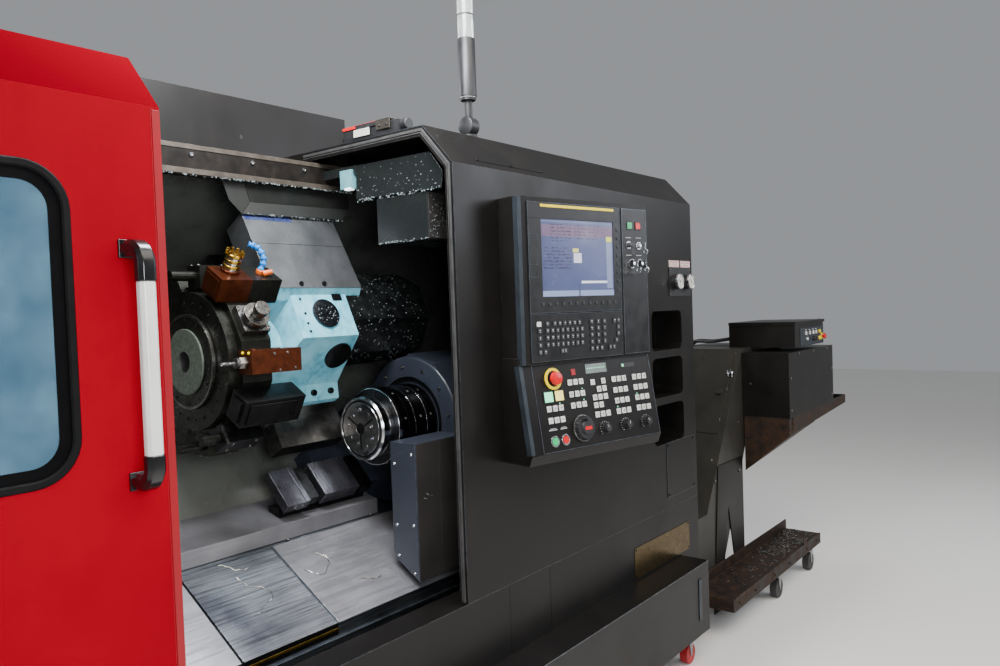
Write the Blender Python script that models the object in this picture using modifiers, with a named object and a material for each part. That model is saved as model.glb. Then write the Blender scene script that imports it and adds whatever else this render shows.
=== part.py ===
# CNC turning lathe with a sub-spindle, a driven-tool turret and a chip conveyor.
# Metres, +Z up. Machine frame: x runs right from the machine's left end, y runs back from the front sheet,
# z runs up from the floor. The datum empty then puts the middle of the footprint at the world's origin.
import math

import bmesh
import bpy
from mathutils import Matrix, Vector

# Driving sizes of the whole machine
machine_length = 3.44
sheet = 0.004
fit = 0.0003
overrun = 0.02
round_steps = 32
small_steps = 16

# Section of the front guard: upright sheet, chamfer and roof, shared by the door and the column
guard_foot = 0.604
roof_height = 1.94
chamfer_drop = 0.118
chamfer_run = 0.108
chamfer_foot = roof_height - chamfer_drop
rear_start = 0.80

# Front opening and door
column_left = 1.965
door_left = 0.215
door_width = 0.92
door_wall = 0.03
door_foot = 0.615
door_roof_depth = 0.60
window_width = 0.62
window_foot = 1.151
window_height = 0.536
window_corner = 0.07
window_side_margin = 0.182
glass_thickness = 0.01
glass_setback = 0.006
handle_foot = 1.107
handle_height = 0.462
handle_side_margin = 0.074
handle_reach = 0.05
handle_width = 0.034
handle_depth = 0.03
bracket_height = 0.075
roller_width = 0.06

# Door rail
rail_left = 0.21
rail_right = 2.12
rail_front = 0.58
rail_depth = 0.04
rail_bracket_left = 2.05
rail_bracket_length = 0.05
rail_drop = 0.04
rail_top = roof_height - rail_drop

# Slanted machine bed, measured from the spindle axis
spindle_y = 0.434
spindle_height = 1.06
slant = math.radians(60)
way_depth = 0.34
bed_depth = 0.36
bed_foot = 0.42
bed_front = 0.47
bed_rear = 1.50
bed_lip = 0.10
bed_top = 1.50
bed_left = 0.12
bed_right_margin = 0.04
leg_width = 0.12
foot_radius = 0.045
foot_height = 0.05
foot_inset = 0.06

# Main spindle
headstock_left = 0.42
headstock_right = 1.06
headstock_radius = 0.24
headstock_chamfer = 0.08
shaft_radius = 0.06
shaft_clearance = 0.0006
shaft_tail = 0.06
chuck_left = 1.13
chuck_length = 0.12
chuck_radius = 0.125
chuck_chamfer = 0.008
nose_radius = 0.09
nose_clearance = 0.012
jaw_count = 3
jaw_inner = 0.045
jaw_length = 0.062
jaw_width = 0.036
jaw_height = 0.05

# Guards left of the opening, and the bulkhead
pillar_width = 0.205
cover_front = 0.06
cover_drop = 0.1245
cover_top = roof_height - cover_drop
bulkhead_left = 1.0805
bulkhead_thickness = 0.008
bulkhead_back_margin = 0.012

# Inner back wall and floor, as points of their section
hood_front = 0.64
hood_drop = 0.065
hood_height = roof_height - hood_drop
wall_knee_height = 1.56
wall_foot_height = 0.786
floor_front = 0.21
floor_front_height = 0.60
floor_step = 0.50
floor_step_height = 0.76
floor_back_height = 0.775
floor_skirt = 0.10
floor_clearance = 0.012

# Column at the right
flange_width = 0.025
flange_depth = 0.03
pocket_left = 3.07
pocket_width = 0.262
pocket_height = 0.157
pocket_pitch = 0.184
pocket_foot = 0.862
pocket_depth = 0.12
pocket_corner = 0.03
pocket_count = 3
pocket_wall = 0.006

# Lower front sheet and sill
sill_depth = 0.125
sill_drop = 0.016
end_panel_depth = 0.70
front_leg_left = 3.275
front_leg_foot = 0.10

# Rear housing
rear_depth = 0.76
rear_foot = 0.40
rear_step = 2.28
rear_rise = 0.185
rear_top = roof_height + rear_rise

# Electrical cabinet at the back
cabinet_left = 0.85
cabinet_width = 1.30
cabinet_depth = 0.24
cabinet_foot = 0.55
cabinet_top = 1.85
cabinet_door_thickness = 0.03

# Coolant tank
tank_left = 0.26
tank_right = 3.262
tank_front = -0.12
tank_back = 1.02
tank_foot = 0.12
tank_top = 0.394
tank_caster_x = 3.158
tank_caster_y = -0.062
tank_wheel_radius = 0.038
tank_wheel_width = 0.03

# Chip conveyor
conveyor_front = 0.05
conveyor_width = 0.40
conveyor_left = 0.62
conveyor_run_height = 0.34
conveyor_bend_x = 3.72
conveyor_top = 1.179
conveyor_top_x = 4.083
conveyor_slope = math.radians(58.1)
conveyor_thickness = 0.26
conveyor_head_foot = 0.80
conveyor_head_right = 4.70
conveyor_head_bevel = 0.08
trough_left = 0.65
trough_right = 3.20
trough_wall = 0.005
trough_floor = 0.14
mouth_left = 4.32
mouth_right = 4.66
mouth_depth = 0.16
guard_left = 4.075
guard_right = 4.765
guard_front = -0.18
guard_bottom = 0.852
guard_top = 1.16
control_left = 4.201
control_right = 4.643
control_front = -0.17
control_back = 0.16
control_height = 0.11
lid_height = 0.014
lid_overhang = 0.006
stand_thickness = 0.006
stand_width = 0.285
stand_top = 0.66
stand_notch_height = 0.459
stand_leg_width = 0.075
hatch_thickness = 0.004
hatch_margin = 0.03
hatch_top_inset = 0.03
hatch_length = 0.42
latch_radius = 0.014
latch_height = 0.02
chute_right = 4.99
chute_front = -0.178
chute_width = 0.13
chute_rise = 0.05
chute_foot = 0.775
chute_lip = 0.045
deck_left = 3.46
deck_right = 4.62
deck_front = -0.14
caster_seat = 0.04
deck_foot = 0.12
deck_top = 0.17
deck_lip_height = 0.05
conveyor_caster_near = 4.03
conveyor_caster_far = 4.50
conveyor_caster_y = -0.105
conveyor_wheel_radius = 0.045
conveyor_wheel_width = 0.032

# Casters
caster_plate = 0.004
caster_offset = 0.018
caster_fork_wall = 0.003
caster_side_gap = 0.0006
axle_radius = 0.006

# Sub-spindle
sub_face = 1.98
sub_nose_length = 0.05
sub_nose_radius = 0.10
sub_body_length = 0.17
sub_body_radius = 0.12
sub_slot_width = 0.007
sub_slot_depth = 0.012
sub_slot_length = 0.05
sub_bore_radius = 0.018
housing_radius = 0.19
housing_length = 0.50
drive_cover_left = 1.98
drive_cover_width = 0.37
drive_cover_front = 0.20
drive_cover_depth = 0.105
drive_cover_foot = 0.622
drive_cover_rise = 0.063
drive_cover_top = 1.03

# Turret: the disc axis lies this far up the slant from the spindle axis
turret_rise = 0.28
disc_left = 1.53
disc_length = 0.09
disc_apothem = 0.205
disc_stations = 12
drum_length = 0.028
drum_radius = 0.19
ring_length = 0.01
ring_radius = 0.13
cap_length = 0.006
cap_radius = 0.09
head_left = 1.70
head_right = 1.975
head_low = -0.1515
head_high = 0.1146
head_crest = 0.172
head_edge_low = -0.0333
head_edge_out = 0.1586
head_belly_low = -0.106
head_belly_out = -0.012
head_flange_out = -0.034
head_end_bevel = 0.08
head_shaft_radius = 0.12
round_cover_radius = 0.045
round_cover_height = 0.006
round_cover_inset = 0.1
upper_cover_back = 0.075
lower_cover_back = 0.075
flange_bolt_radius = 0.009
flange_bolt_height = 0.008
flange_bolt_count = 3
slide_top_depth = 0.06
slide_thickness = 0.14
slide_inset = 0.025
slide_width = 0.24
slide_low = -0.15
slide_cover_low = -0.25
slide_cover_left = 1.78
slide_cover_right = 2.03
slide_cover_out = 0.13
slide_high = 0.40
saddle_width = 0.44
saddle_low = -0.08
saddle_high = 0.30
plate_low = 0.119
plate_high = 0.379
plate_front = 0.188
plate_depth = 0.088
plate_overhang = 0.06
motor_cover_length = 0.35
motor_cover_radius = 0.15
motor_cover_up = 0.097
motor_cover_out = 0.026
way_box_left = 1.963
way_box_low = -0.104
way_box_high = 0.056
way_box_out = 0.26

# Tool holders on the disc
holder_gap = 0.0003
holder_left = 1.505
holder_right = 1.69
block_width = 0.078
block_height = 0.066
boring_width = 0.062
boring_height = 0.058
bar_radius = 0.014
bar_length = 0.07
live_plate_width = 0.078
live_plate_height = 0.022
live_body_radius = 0.034
live_body_height = 0.02
collet_radius = 0.021
collet_height = 0.032
axial_left = 1.52
axial_length = 0.155
axial_height = 0.056
axial_width = 0.062
axial_bore_height = 0.03
drill_collet_radius = 0.014
drill_collet_length = 0.03
drill_radius = 0.005
drill_length = 0.045

# Operator panel, turned to face the door
panel_turn = math.radians(12.5)
panel_x = 2.221
panel_y = -0.102
panel_left = -0.084
panel_right = 0.465
panel_foot = 1.252
panel_top = 1.737
console_back = 0.01
console_lean = 0.046
console_drop = 0.257
console_lip = 0.029
console_lip_back = 0.012
console_left = -0.09

# Controls on the panel: place along it and down it, then size
estop_along = 0.03
estop_down = 0.047
estop_radius = 0.021
estop_ring_radius = 0.03
estop_stem_radius = 0.012
estop_stem_height = 0.012
estop_height = 0.028
estop_travel = 0.004
button_radius = 0.0115
button_height = 0.004
button_travel = 0.003
well_gap = 0.0006
start_along = 0.003
stop_along = 0.045
button_down = 0.228
wheel_along = 0.122
wheel_down = 0.203
wheel_radius = 0.036
wheel_height = 0.014
wheel_bezel_radius = 0.041
crank_radius = 0.006
crank_height = 0.014
crank_inset = 0.011
knob_radius = 0.0135
knob_height = 0.018
knob_down = 0.214
knob_first = 0.215
knob_pitch = 0.094
knob_count = 3
power_first = 0.381
power_pitch = 0.039
power_height = 1.668
power_size = 0.02
switch_height = 1.547
switch_first = 0.386
switch_pitch = 0.038
switch_count = 2
switch_radius = 0.012
switch_base = 0.006
switch_grip_width = 0.006
switch_grip_height = 0.010
control_seat = 0.004
ring_height = 0.003

# Gauges
gauge_first = 3.275
gauge_pitch = 0.10
gauge_height = 1.50
gauge_radius = 0.03
gauge_depth = 0.026
gauge_margin = 0.015
gauge_board_height = 0.115
gauge_board_thickness = 0.003

# Guard-lock switch on the column roof
lock_left = 1.972
lock_width = 0.045
lock_front = 0.21
lock_length = 0.24
lock_height = 0.036
lock_lid = 0.008
lock_gland_radius = 0.009
lock_gland_length = 0.022

# Signal tower
tower_x = 2.205
tower_y = 0.141
tower_foot_radius = 0.025
tower_foot_height = 0.010
tower_knuckle_radius = 0.017
tower_knuckle_length = 0.034
tower_knuckle_rise = 0.037
tower_knuckle_height = roof_height + tower_knuckle_rise
tower_pole_radius = 0.011
tower_pole_height = 0.068
tower_body_radius = 0.026
tower_body_height = 0.18
tower_lens_radius = 0.024
tower_lens_height = 0.07
tower_lens_count = 3
tower_groove = 0.004

# Outer reach of the whole object, used to centre it over the origin
reach_right = chute_right
reach_front = (
    panel_y - panel_right * math.sin(panel_turn) - (console_lean - console_back) * math.cos(panel_turn)
)
reach_back = rear_start + rear_depth + fit + cabinet_depth + fit + cabinet_door_thickness


for old in list(bpy.data.objects):
    bpy.data.objects.remove(old, do_unlink=True)

parts = bpy.data.collections.new("cnc_turning_lathe")
cutters = bpy.data.collections.new("cutters")
for group in (parts, cutters):
    bpy.context.scene.collection.children.link(group)


def paint(name, colour, roughness, metallic=0.0):
    """A Principled material with one colour."""
    material = bpy.data.materials.new(name)
    material.use_nodes = True
    shader = material.node_tree.nodes["Principled BSDF"]
    shader.inputs["Base Color"].default_value = (*colour, 1.0)
    shader.inputs["Roughness"].default_value = roughness
    shader.inputs["Metallic"].default_value = metallic
    return material


black_paint = paint("black_textured_paint", (0.020, 0.019, 0.018), 0.5)
red_paint = paint("red_paint", (0.55, 0.004, 0.010), 0.35)
grey_paint = paint("dark_grey_paint", (0.045, 0.050, 0.060), 0.45)
wall_paint = paint("grey_green_paint", (0.07, 0.08, 0.075), 0.5)
blue_paint = paint("light_blue_casting_paint", (0.28, 0.55, 0.62), 0.4)
stainless = paint("stainless_sheet", (0.45, 0.46, 0.47), 0.35, 1.0)
steel = paint("ground_steel", (0.35, 0.35, 0.36), 0.3, 1.0)
black_steel = paint("blackened_steel", (0.03, 0.03, 0.035), 0.35, 0.8)
cast_iron = paint("painted_cast_iron", (0.10, 0.11, 0.12), 0.6)
copper_steel = paint("bronze_coated_steel", (0.28, 0.09, 0.03), 0.35, 0.8)
black_plastic = paint("black_plastic", (0.015, 0.015, 0.015), 0.4)
red_plastic = paint("red_plastic", (0.65, 0.01, 0.01), 0.35)
green_plastic = paint("green_plastic", (0.02, 0.45, 0.12), 0.35)
white_coat = paint("white_coated_aluminium", (0.75, 0.75, 0.74), 0.35)
clear_plastic = paint("clear_lens_plastic", (0.75, 0.76, 0.76), 0.2)
window_glass = paint("laminated_window_glass", (0.20, 0.30, 0.36), 0.1)
grey_rubber = paint("grey_rubber", (0.06, 0.06, 0.06), 0.8)

datum = bpy.data.objects.new("machine_datum", None)
parts.objects.link(datum)
datum.location = (-reach_right / 2, -(reach_front + reach_back) / 2, 0)


def keep(obj, material, parent=None):
    """Puts a finished solid among the parts, carried by the datum or another parent."""
    parts.objects.link(obj)
    obj.data.materials.clear()
    obj.data.materials.append(material)
    obj.parent = parent or datum
    return obj


def as_object(bm, name, pivot=(0, 0, 0)):
    """A mesh object from a bmesh whose points are in the carrier's frame, with its origin at the pivot."""
    bmesh.ops.translate(bm, vec=-Vector(pivot), verts=bm.verts)
    bmesh.ops.recalc_face_normals(bm, faces=bm.faces)
    mesh = bpy.data.meshes.new(name)
    bm.to_mesh(mesh)
    bm.free()
    obj = bpy.data.objects.new(name, mesh)
    obj.location = pivot
    return obj


def block(name, low, high, pivot=(0, 0, 0)):
    """A box between two corners."""
    bm = bmesh.new()
    bmesh.ops.create_cube(bm, size=1)
    size = Vector(high) - Vector(low)
    middle = (Vector(high) + Vector(low)) / 2
    bmesh.ops.transform(bm, matrix=Matrix.Translation(middle) @ Matrix.Diagonal((*size, 1)), verts=bm.verts)
    return as_object(bm, name, pivot)


def turn_to(direction):
    """The rotation that takes +Z to a direction."""
    return Vector((0, 0, 1)).rotation_difference(Vector(direction)).to_matrix().to_4x4()


def rod(name, centre, direction, radius, length, pivot=(0, 0, 0), steps=round_steps, far_radius=None):
    """A cylinder or cone that starts at a centre and runs along a direction."""
    bm = bmesh.new()
    end = radius if far_radius is None else far_radius
    lift = Matrix.Translation((0, 0, length / 2))
    bmesh.ops.create_cone(bm, cap_ends=True, segments=steps, radius1=radius, radius2=end, depth=length)
    bmesh.ops.transform(bm, matrix=Matrix.Translation(centre) @ turn_to(direction) @ lift, verts=bm.verts)
    return as_object(bm, name, pivot)


def turned(name, profile, centre, direction, pivot=(0, 0, 0), steps=round_steps):
    """A turned shape: profile points are (distance along the axis, radius), far end first."""
    mesh = bpy.data.meshes.new(name)
    bm = bmesh.new()
    points = [bm.verts.new((radius, 0, along)) for along, radius in profile]
    for first, second in zip(points, points[1:]):
        bm.edges.new((first, second))
    bm.to_mesh(mesh)
    bm.free()
    obj = bpy.data.objects.new(name, mesh)
    obj.matrix_basis = Matrix.Translation(Vector(centre)) @ turn_to(direction)
    screw = obj.modifiers.new("turn", "SCREW")
    screw.axis = "Z"
    screw.steps = screw.render_steps = steps
    screw.use_merge_vertices = True
    screw.merge_threshold = 0.00005
    return solid_from(obj, name, pivot)


def solid_from(obj, name, pivot=(0, 0, 0)):
    """The evaluated mesh of a curve or of an object with modifiers, welded, with its origin at the pivot."""
    cutters.objects.link(obj)
    bpy.context.view_layer.update()
    graph = bpy.context.evaluated_depsgraph_get()
    mesh = bpy.data.meshes.new_from_object(obj.evaluated_get(graph))
    bm = bmesh.new()
    bm.from_mesh(mesh)
    bmesh.ops.remove_doubles(bm, verts=bm.verts, dist=0.00005)
    bmesh.ops.transform(bm, matrix=obj.matrix_world, verts=bm.verts)
    bpy.data.objects.remove(obj, do_unlink=True)
    return as_object(bm, name, pivot)


axis_turns = {
    "X": Matrix(((0, 0, 1, 0), (1, 0, 0, 0), (0, 1, 0, 0), (0, 0, 0, 1))),
    "Y": Matrix(((1, 0, 0, 0), (0, 0, -1, 0), (0, 1, 0, 0), (0, 0, 0, 1))),
    "Z": Matrix.Identity(4),
}


def prism(name, outline, axis, start, end, pivot=(0, 0, 0)):
    """A flat outline drawn out along an axis: (y, z) along X, (x, z) along Y and (x, y) along Z."""
    curve = bpy.data.curves.new(name, "CURVE")
    curve.dimensions = "2D"
    curve.fill_mode = "BOTH"
    curve.extrude = abs(end - start) / 2
    spline = curve.splines.new("POLY")
    spline.points.add(len(outline) - 1)
    for point, (a, b) in zip(spline.points, outline):
        point.co = (a, b, 0, 1)
    spline.use_cyclic_u = True
    obj = bpy.data.objects.new(name, curve)
    middle = {"X": (1, 0, 0), "Y": (0, 1, 0), "Z": (0, 0, 1)}[axis]
    obj.matrix_basis = Matrix.Translation(Vector(middle) * (start + end) / 2) @ axis_turns[axis]
    return solid_from(obj, name, pivot)


def folded_sheet(name, path, start, end, thickness):
    """A sheet folded along x: path holds (y, z) points of its front, on the left of the path's way."""
    bm = bmesh.new()
    points = [bm.verts.new((start, y, z)) for y, z in path]
    edges = [bm.edges.new(pair) for pair in zip(points, points[1:])]
    grown = bmesh.ops.extrude_edge_only(bm, edges=edges)["geom"]
    moved = [item for item in grown if isinstance(item, bmesh.types.BMVert)]
    bmesh.ops.translate(bm, vec=(end - start, 0, 0), verts=moved)
    bmesh.ops.recalc_face_normals(bm, faces=bm.faces)
    bm.normal_update()
    facing = points[0].link_faces[0].normal
    (start_y, start_z), (next_y, next_z) = path[:2]
    if facing.z * (next_y - start_y) - facing.y * (next_z - start_z) < 0:
        bmesh.ops.reverse_faces(bm, faces=bm.faces)
    mesh = bpy.data.meshes.new(name)
    bm.to_mesh(mesh)
    bm.free()
    obj = bpy.data.objects.new(name, mesh)
    shell = obj.modifiers.new("sheet", "SOLIDIFY")
    shell.thickness = thickness
    shell.offset = -1
    shell.use_even_offset = True
    return solid_from(obj, name)


def rounded(low, high, radius, steps=5):
    """The outline of a rectangle with round corners."""
    corners = ((high[0], high[1], 0), (low[0], high[1], 1), (low[0], low[1], 2), (high[0], low[1], 3))
    outline = []
    for x, y, quarter in corners:
        middle_x = x - radius if quarter in (0, 3) else x + radius
        middle_y = y - radius if quarter in (0, 1) else y + radius
        for step in range(steps + 1):
            angle = (quarter + step / steps) * math.pi / 2
            outline.append((middle_x + radius * math.cos(angle), middle_y + radius * math.sin(angle)))
    return outline


def boolean(target, tools, operation, carrier=None):
    """Joins or cuts a solid with others, which stay as hidden wires in the cutters' collection."""
    for tool in tools:
        cutters.objects.link(tool)
        tool.hide_render = True
        tool.display_type = "WIRE"
        tool.parent = carrier or datum
        step = target.modifiers.new(operation.lower(), "BOOLEAN")
        step.operation = operation
        step.object = tool
        step.solver = "EXACT"
    return target


def fuse(target, *tools, carrier=None):
    return boolean(target, tools, "UNION", carrier)


def cut(target, *tools, carrier=None):
    return boolean(target, tools, "DIFFERENCE", carrier)


def slanted(along, out, rise=0.0):
    """(y, z) of a point: along runs up the bed's slant from the spindle axis, out runs to the operator."""
    up = along + rise
    return (
        spindle_y + up * math.cos(slant) - out * math.sin(slant),
        spindle_height + up * math.sin(slant) + out * math.cos(slant),
    )


def offset_section(front, foot, back, inset):
    """The guard's section as an outline: front sheet, chamfer and roof, moved in by an inset."""
    lean = inset * (math.sqrt(2) - 1)
    return [
        (front + inset, foot),
        (front + inset, chamfer_foot - lean),
        (front + chamfer_run + lean, roof_height - inset),
        (back, roof_height - inset),
        (back, foot),
    ]


turret_y, turret_z = slanted(0, 0, turret_rise)
spindle_axis = (chuck_left, spindle_y, spindle_height)


def make_bed():
    top_front = slanted(0, -bed_depth)
    slope = math.tan(slant)

    def on_slope(height):
        return (top_front[0] + (height - top_front[1]) / slope, height)

    outline = [
        (bed_front, bed_foot),
        (bed_rear, bed_foot),
        (bed_rear, bed_top),
        on_slope(bed_top),
        on_slope(bed_foot + bed_lip),
        (bed_front, bed_foot + bed_lip),
    ]
    right = machine_length - bed_right_margin
    bed = prism("bed", outline, "X", bed_left, right)
    for leg_left in (bed_left, right - leg_width):
        leg_low = (leg_left, bed_front, foot_height)
        leg_high = (leg_left + leg_width, bed_rear, bed_foot + overrun)
        fuse(bed, block("bed_leg", leg_low, leg_high))
        for y in (bed_front + foot_inset, bed_rear - foot_inset):
            centre = (leg_left + leg_width / 2, y, 0)
            fuse(bed, rod("bed_foot", centre, (0, 0, 1), foot_radius, foot_height + overrun))
    keep(bed, cast_iron)


def spindle_block(name, left, right, radius):
    """A head casting around the spindle axis, standing on the bed's ways."""
    bevel = radius - headstock_chamfer
    corners = ((-radius, bevel), (-bevel, radius), (bevel, radius), (radius, bevel))
    outline = [slanted(along, out) for along, out in corners]
    outline += [slanted(radius, -bed_depth + fit), slanted(-radius, -bed_depth + fit)]
    return prism(name, outline, "X", left, right)


def make_headstock():
    head = spindle_block("headstock", headstock_left, headstock_right, headstock_radius)
    bore_start = (headstock_left - overrun, spindle_y, spindle_height)
    length = headstock_right - headstock_left + 2 * overrun
    cut(head, rod("spindle_bore", bore_start, (1, 0, 0), shaft_radius + shaft_clearance, length))
    keep(head, cast_iron)


def make_main_chuck():
    tail = chuck_left - headstock_left + shaft_tail
    nose = chuck_left - headstock_right - nose_clearance
    front = chuck_length
    profile = [
        (front, shaft_radius / 2),
        (front, chuck_radius - chuck_chamfer),
        (front - chuck_chamfer, chuck_radius),
        (0, chuck_radius),
        (0, nose_radius),
        (-nose, nose_radius),
        (-nose, shaft_radius),
        (-tail, shaft_radius),
        (-tail, shaft_radius / 2),
        (front, shaft_radius / 2),
    ]
    keep(turned("main_chuck", profile, spindle_axis, (1, 0, 0), spindle_axis), steel)
    face = chuck_left + chuck_length + fit
    for number in range(jaw_count):
        angle = 2 * math.pi * number / jaw_count
        name = f"chuck_jaw_{number + 1}"
        high = (face + jaw_height, jaw_width / 2, jaw_inner + jaw_length)
        jaw = block(name, (face, -jaw_width / 2, jaw_inner), high)
        step_low = (face + jaw_height / 2, -jaw_width, jaw_inner + jaw_length / 2)
        step_high = (face + jaw_height + overrun, jaw_width, jaw_inner + jaw_length + overrun)
        step = block("jaw_step", step_low, step_high)
        turn = Matrix.Translation((0, spindle_y, spindle_height)) @ Matrix.Rotation(angle, 4, "X")
        for piece in (jaw, step):
            piece.data.transform(turn)
        keep(cut(jaw, step), steel)


def make_left_cover():
    front = [
        (cover_front, guard_foot),
        (cover_front, cover_top),
        (rear_start - fit, cover_top),
        (rear_start - fit, guard_foot),
    ]
    right = bulkhead_left - fit
    cover = prism("left_cover", front, "X", 0, right)
    pillar = offset_section(0, guard_foot, rear_start - fit, 0)
    fuse(cover, prism("pillar", pillar, "X", 0, pillar_width))
    cavity = [
        (cover_front + sheet, guard_foot - overrun),
        (cover_front + sheet, cover_top - sheet),
        (rear_start + overrun, cover_top - sheet),
        (rear_start + overrun, guard_foot - overrun),
    ]
    pillar_cavity = offset_section(0, guard_foot - overrun, rear_start + overrun, sheet)
    cut(cover, prism("cover_cavity", cavity, "X", sheet, right + overrun))
    cut(cover, prism("pillar_cavity", pillar_cavity, "X", sheet, pillar_width - sheet))
    keep(cover, black_paint)


def make_bulkhead():
    wall = way_depth - bulkhead_back_margin
    knee = slanted(0, -wall)
    slope = math.tan(slant)
    outline = [
        (cover_front, guard_foot),
        (cover_front, cover_top),
        (rear_start - bulkhead_back_margin, cover_top),
        (knee[0] + (wall_knee_height - knee[1]) / slope, wall_knee_height),
        (knee[0] + (guard_foot - knee[1]) / slope, guard_foot),
    ]
    right = bulkhead_left + bulkhead_thickness
    plate = prism("left_bulkhead", outline, "X", bulkhead_left, right)
    centre = (bulkhead_left - overrun, spindle_y, spindle_height)
    length = bulkhead_thickness + 2 * overrun
    cut(plate, rod("nose_hole", centre, (1, 0, 0), nose_radius + nose_clearance, length))
    keep(plate, wall_paint)


def make_inner_sheets():
    left = bulkhead_left + bulkhead_thickness + fit
    right = machine_length - sheet - fit
    wall_point = slanted(0, -way_depth)
    slope = math.tan(slant)
    path = [
        (wall_point[0] + (wall_foot_height - wall_point[1]) / slope, wall_foot_height),
        (wall_point[0] + (wall_knee_height - wall_point[1]) / slope, wall_knee_height),
        (rear_start - fit, hood_height),
        (hood_front, hood_height),
    ]
    keep(folded_sheet("back_wall", path, left, right, sheet), wall_paint)
    bed_point = slanted(0, -bed_depth)
    floor_back = bed_point[0] + (floor_back_height - sheet - bed_point[1]) / slope - 2 * fit
    floor = [
        (floor_front, floor_front_height - floor_skirt),
        (floor_front, floor_front_height),
        (floor_step, floor_step_height),
        (floor_back, floor_back_height),
    ]
    keep(folded_sheet("floor_plates", floor, left, right, sheet), stainless)


def make_column():
    section = offset_section(0, guard_foot, rear_start - fit, 0)
    column = prism("column_shell", section, "X", column_left, machine_length)
    cavity = offset_section(0, guard_foot - overrun, rear_start + overrun, sheet)
    mouth = offset_section(0, guard_foot - overrun, rear_start + overrun, flange_depth)
    cut(column, prism("column_cavity", cavity, "X", column_left + flange_width, machine_length - sheet))
    mouth_right = column_left + flange_width + overrun
    cut(column, prism("column_mouth", mouth, "X", column_left - overrun, mouth_right))
    high = pocket_foot + pocket_pitch * (pocket_count - 1) + pocket_height
    low_corner = (pocket_left - pocket_wall, sheet / 2, pocket_foot - pocket_wall)
    high_corner = (pocket_left + pocket_width + pocket_wall, pocket_depth + pocket_wall, high + pocket_wall)
    fuse(column, block("pocket_block", low_corner, high_corner))
    for number in range(pocket_count):
        foot = pocket_foot + pocket_pitch * number
        high = (pocket_left + pocket_width, foot + pocket_height)
        outline = rounded((pocket_left, foot), high, pocket_corner)
        cut(column, prism("pocket", outline, "Y", -overrun, pocket_depth))
    bracket_low = (rail_bracket_left, rail_front, rail_top + fit)
    bracket_high = (rail_bracket_left + rail_bracket_length, rail_front + rail_depth, roof_height - sheet / 2)
    fuse(column, block("rail_bracket", bracket_low, bracket_high))
    keep(column, black_paint)


def make_lower_front():
    top = guard_foot - fit
    bottom = tank_top + fit
    panel = block("lower_front_panel", (0, 0, bottom), (machine_length, sheet, top))
    shelf = top - sill_drop
    sill_right = machine_length - sheet
    fuse(panel, block("sill", (bulkhead_left, sheet / 2, shelf - sheet), (sill_right, sill_depth, shelf)))
    leg_high = (machine_length, sheet, bottom + overrun)
    fuse(panel, block("front_leg", (front_leg_left, 0, front_leg_foot), leg_high))
    end_low = (machine_length - sheet, 0, front_leg_foot)
    end_high = (machine_length, end_panel_depth, top)
    hole_low = (machine_length - overrun, conveyor_front - sheet, front_leg_foot - overrun)
    hole_back = conveyor_front + conveyor_width + sheet
    hole_high = (machine_length + overrun, hole_back, conveyor_points()[0] + 2 * sheet)
    fuse(panel, block("end_panel", end_low, end_high))
    cut(panel, block("conveyor_hole", hole_low, hole_high))
    keep(panel, black_paint)


def make_rear_housing():
    back = rear_start + rear_depth
    housing = block("rear_housing", (0, rear_start, rear_foot), (machine_length, back, roof_height))
    fuse(housing, block("rear_upper", (0, rear_start, roof_height - overrun), (rear_step, back, rear_top)))
    low = (sheet, rear_start - overrun, rear_foot - overrun)
    high = (machine_length - sheet, back - sheet, hood_height + sheet)
    cut(housing, block("rear_cavity", low, high))
    low = (sheet, rear_start + sheet, hood_height - overrun)
    cut(housing, block("rear_cavity_top", low, (machine_length - sheet, back - sheet, roof_height - sheet)))
    cut(housing, block("rear_upper_cavity", low, (rear_step - sheet, back - sheet, rear_top - sheet)))
    keep(housing, black_paint)


def make_rail():
    rail_foot = cover_top + fit
    high = (rail_right, rail_front + rail_depth, rail_top)
    rail = block("door_top_rail", (rail_left, rail_front, rail_foot), high)
    groove_low = (rail_left - overrun, rail_front + sheet, rail_foot - overrun)
    groove_high = (rail_right + overrun, rail_front + rail_depth - sheet, rail_top - sheet)
    keep(cut(rail, block("rail_groove", groove_low, groove_high)), steel)


def make_cabinet():
    front = rear_start + rear_depth + fit
    back = front + cabinet_depth
    right = cabinet_left + cabinet_width
    shell = block("electrical_cabinet", (cabinet_left, front, cabinet_foot), (right, back, cabinet_top))
    low = (cabinet_left + sheet, front + sheet, cabinet_foot + sheet)
    cut(shell, block("cabinet_cavity", low, (right - sheet, back + overrun, cabinet_top - sheet)))
    keep(shell, grey_paint)
    hinge = (cabinet_left, back + fit + cabinet_door_thickness / 2, (cabinet_foot + cabinet_top) / 2)
    low = (cabinet_left, back + fit, cabinet_foot)
    high = (right, back + fit + cabinet_door_thickness, cabinet_top)
    keep(block("cabinet_door", low, high, hinge), grey_paint)


def make_tank():
    tank = block("coolant_tank", (tank_left, tank_front, tank_foot), (tank_right, tank_back, tank_top))
    low = (tank_left + sheet, tank_front + sheet, tank_foot + sheet)
    high = (tank_right - sheet, tank_back - sheet, tank_top - sheet)
    cut(tank, block("tank_cavity", low, high))
    mouth_low = (tank_left + sheet, sheet, tank_top - overrun)
    mouth_high = (tank_right - sheet, tank_back - sheet, tank_top + overrun)
    cut(tank, block("tank_mouth", mouth_low, mouth_high))
    side_low = (tank_right - overrun, conveyor_front - sheet, tank_foot + sheet)
    side_high = (tank_right + overrun, conveyor_front + conveyor_width + sheet, tank_top + overrun)
    cut(tank, block("tank_side_notch", side_low, side_high))
    keep(tank, black_paint)


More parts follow.
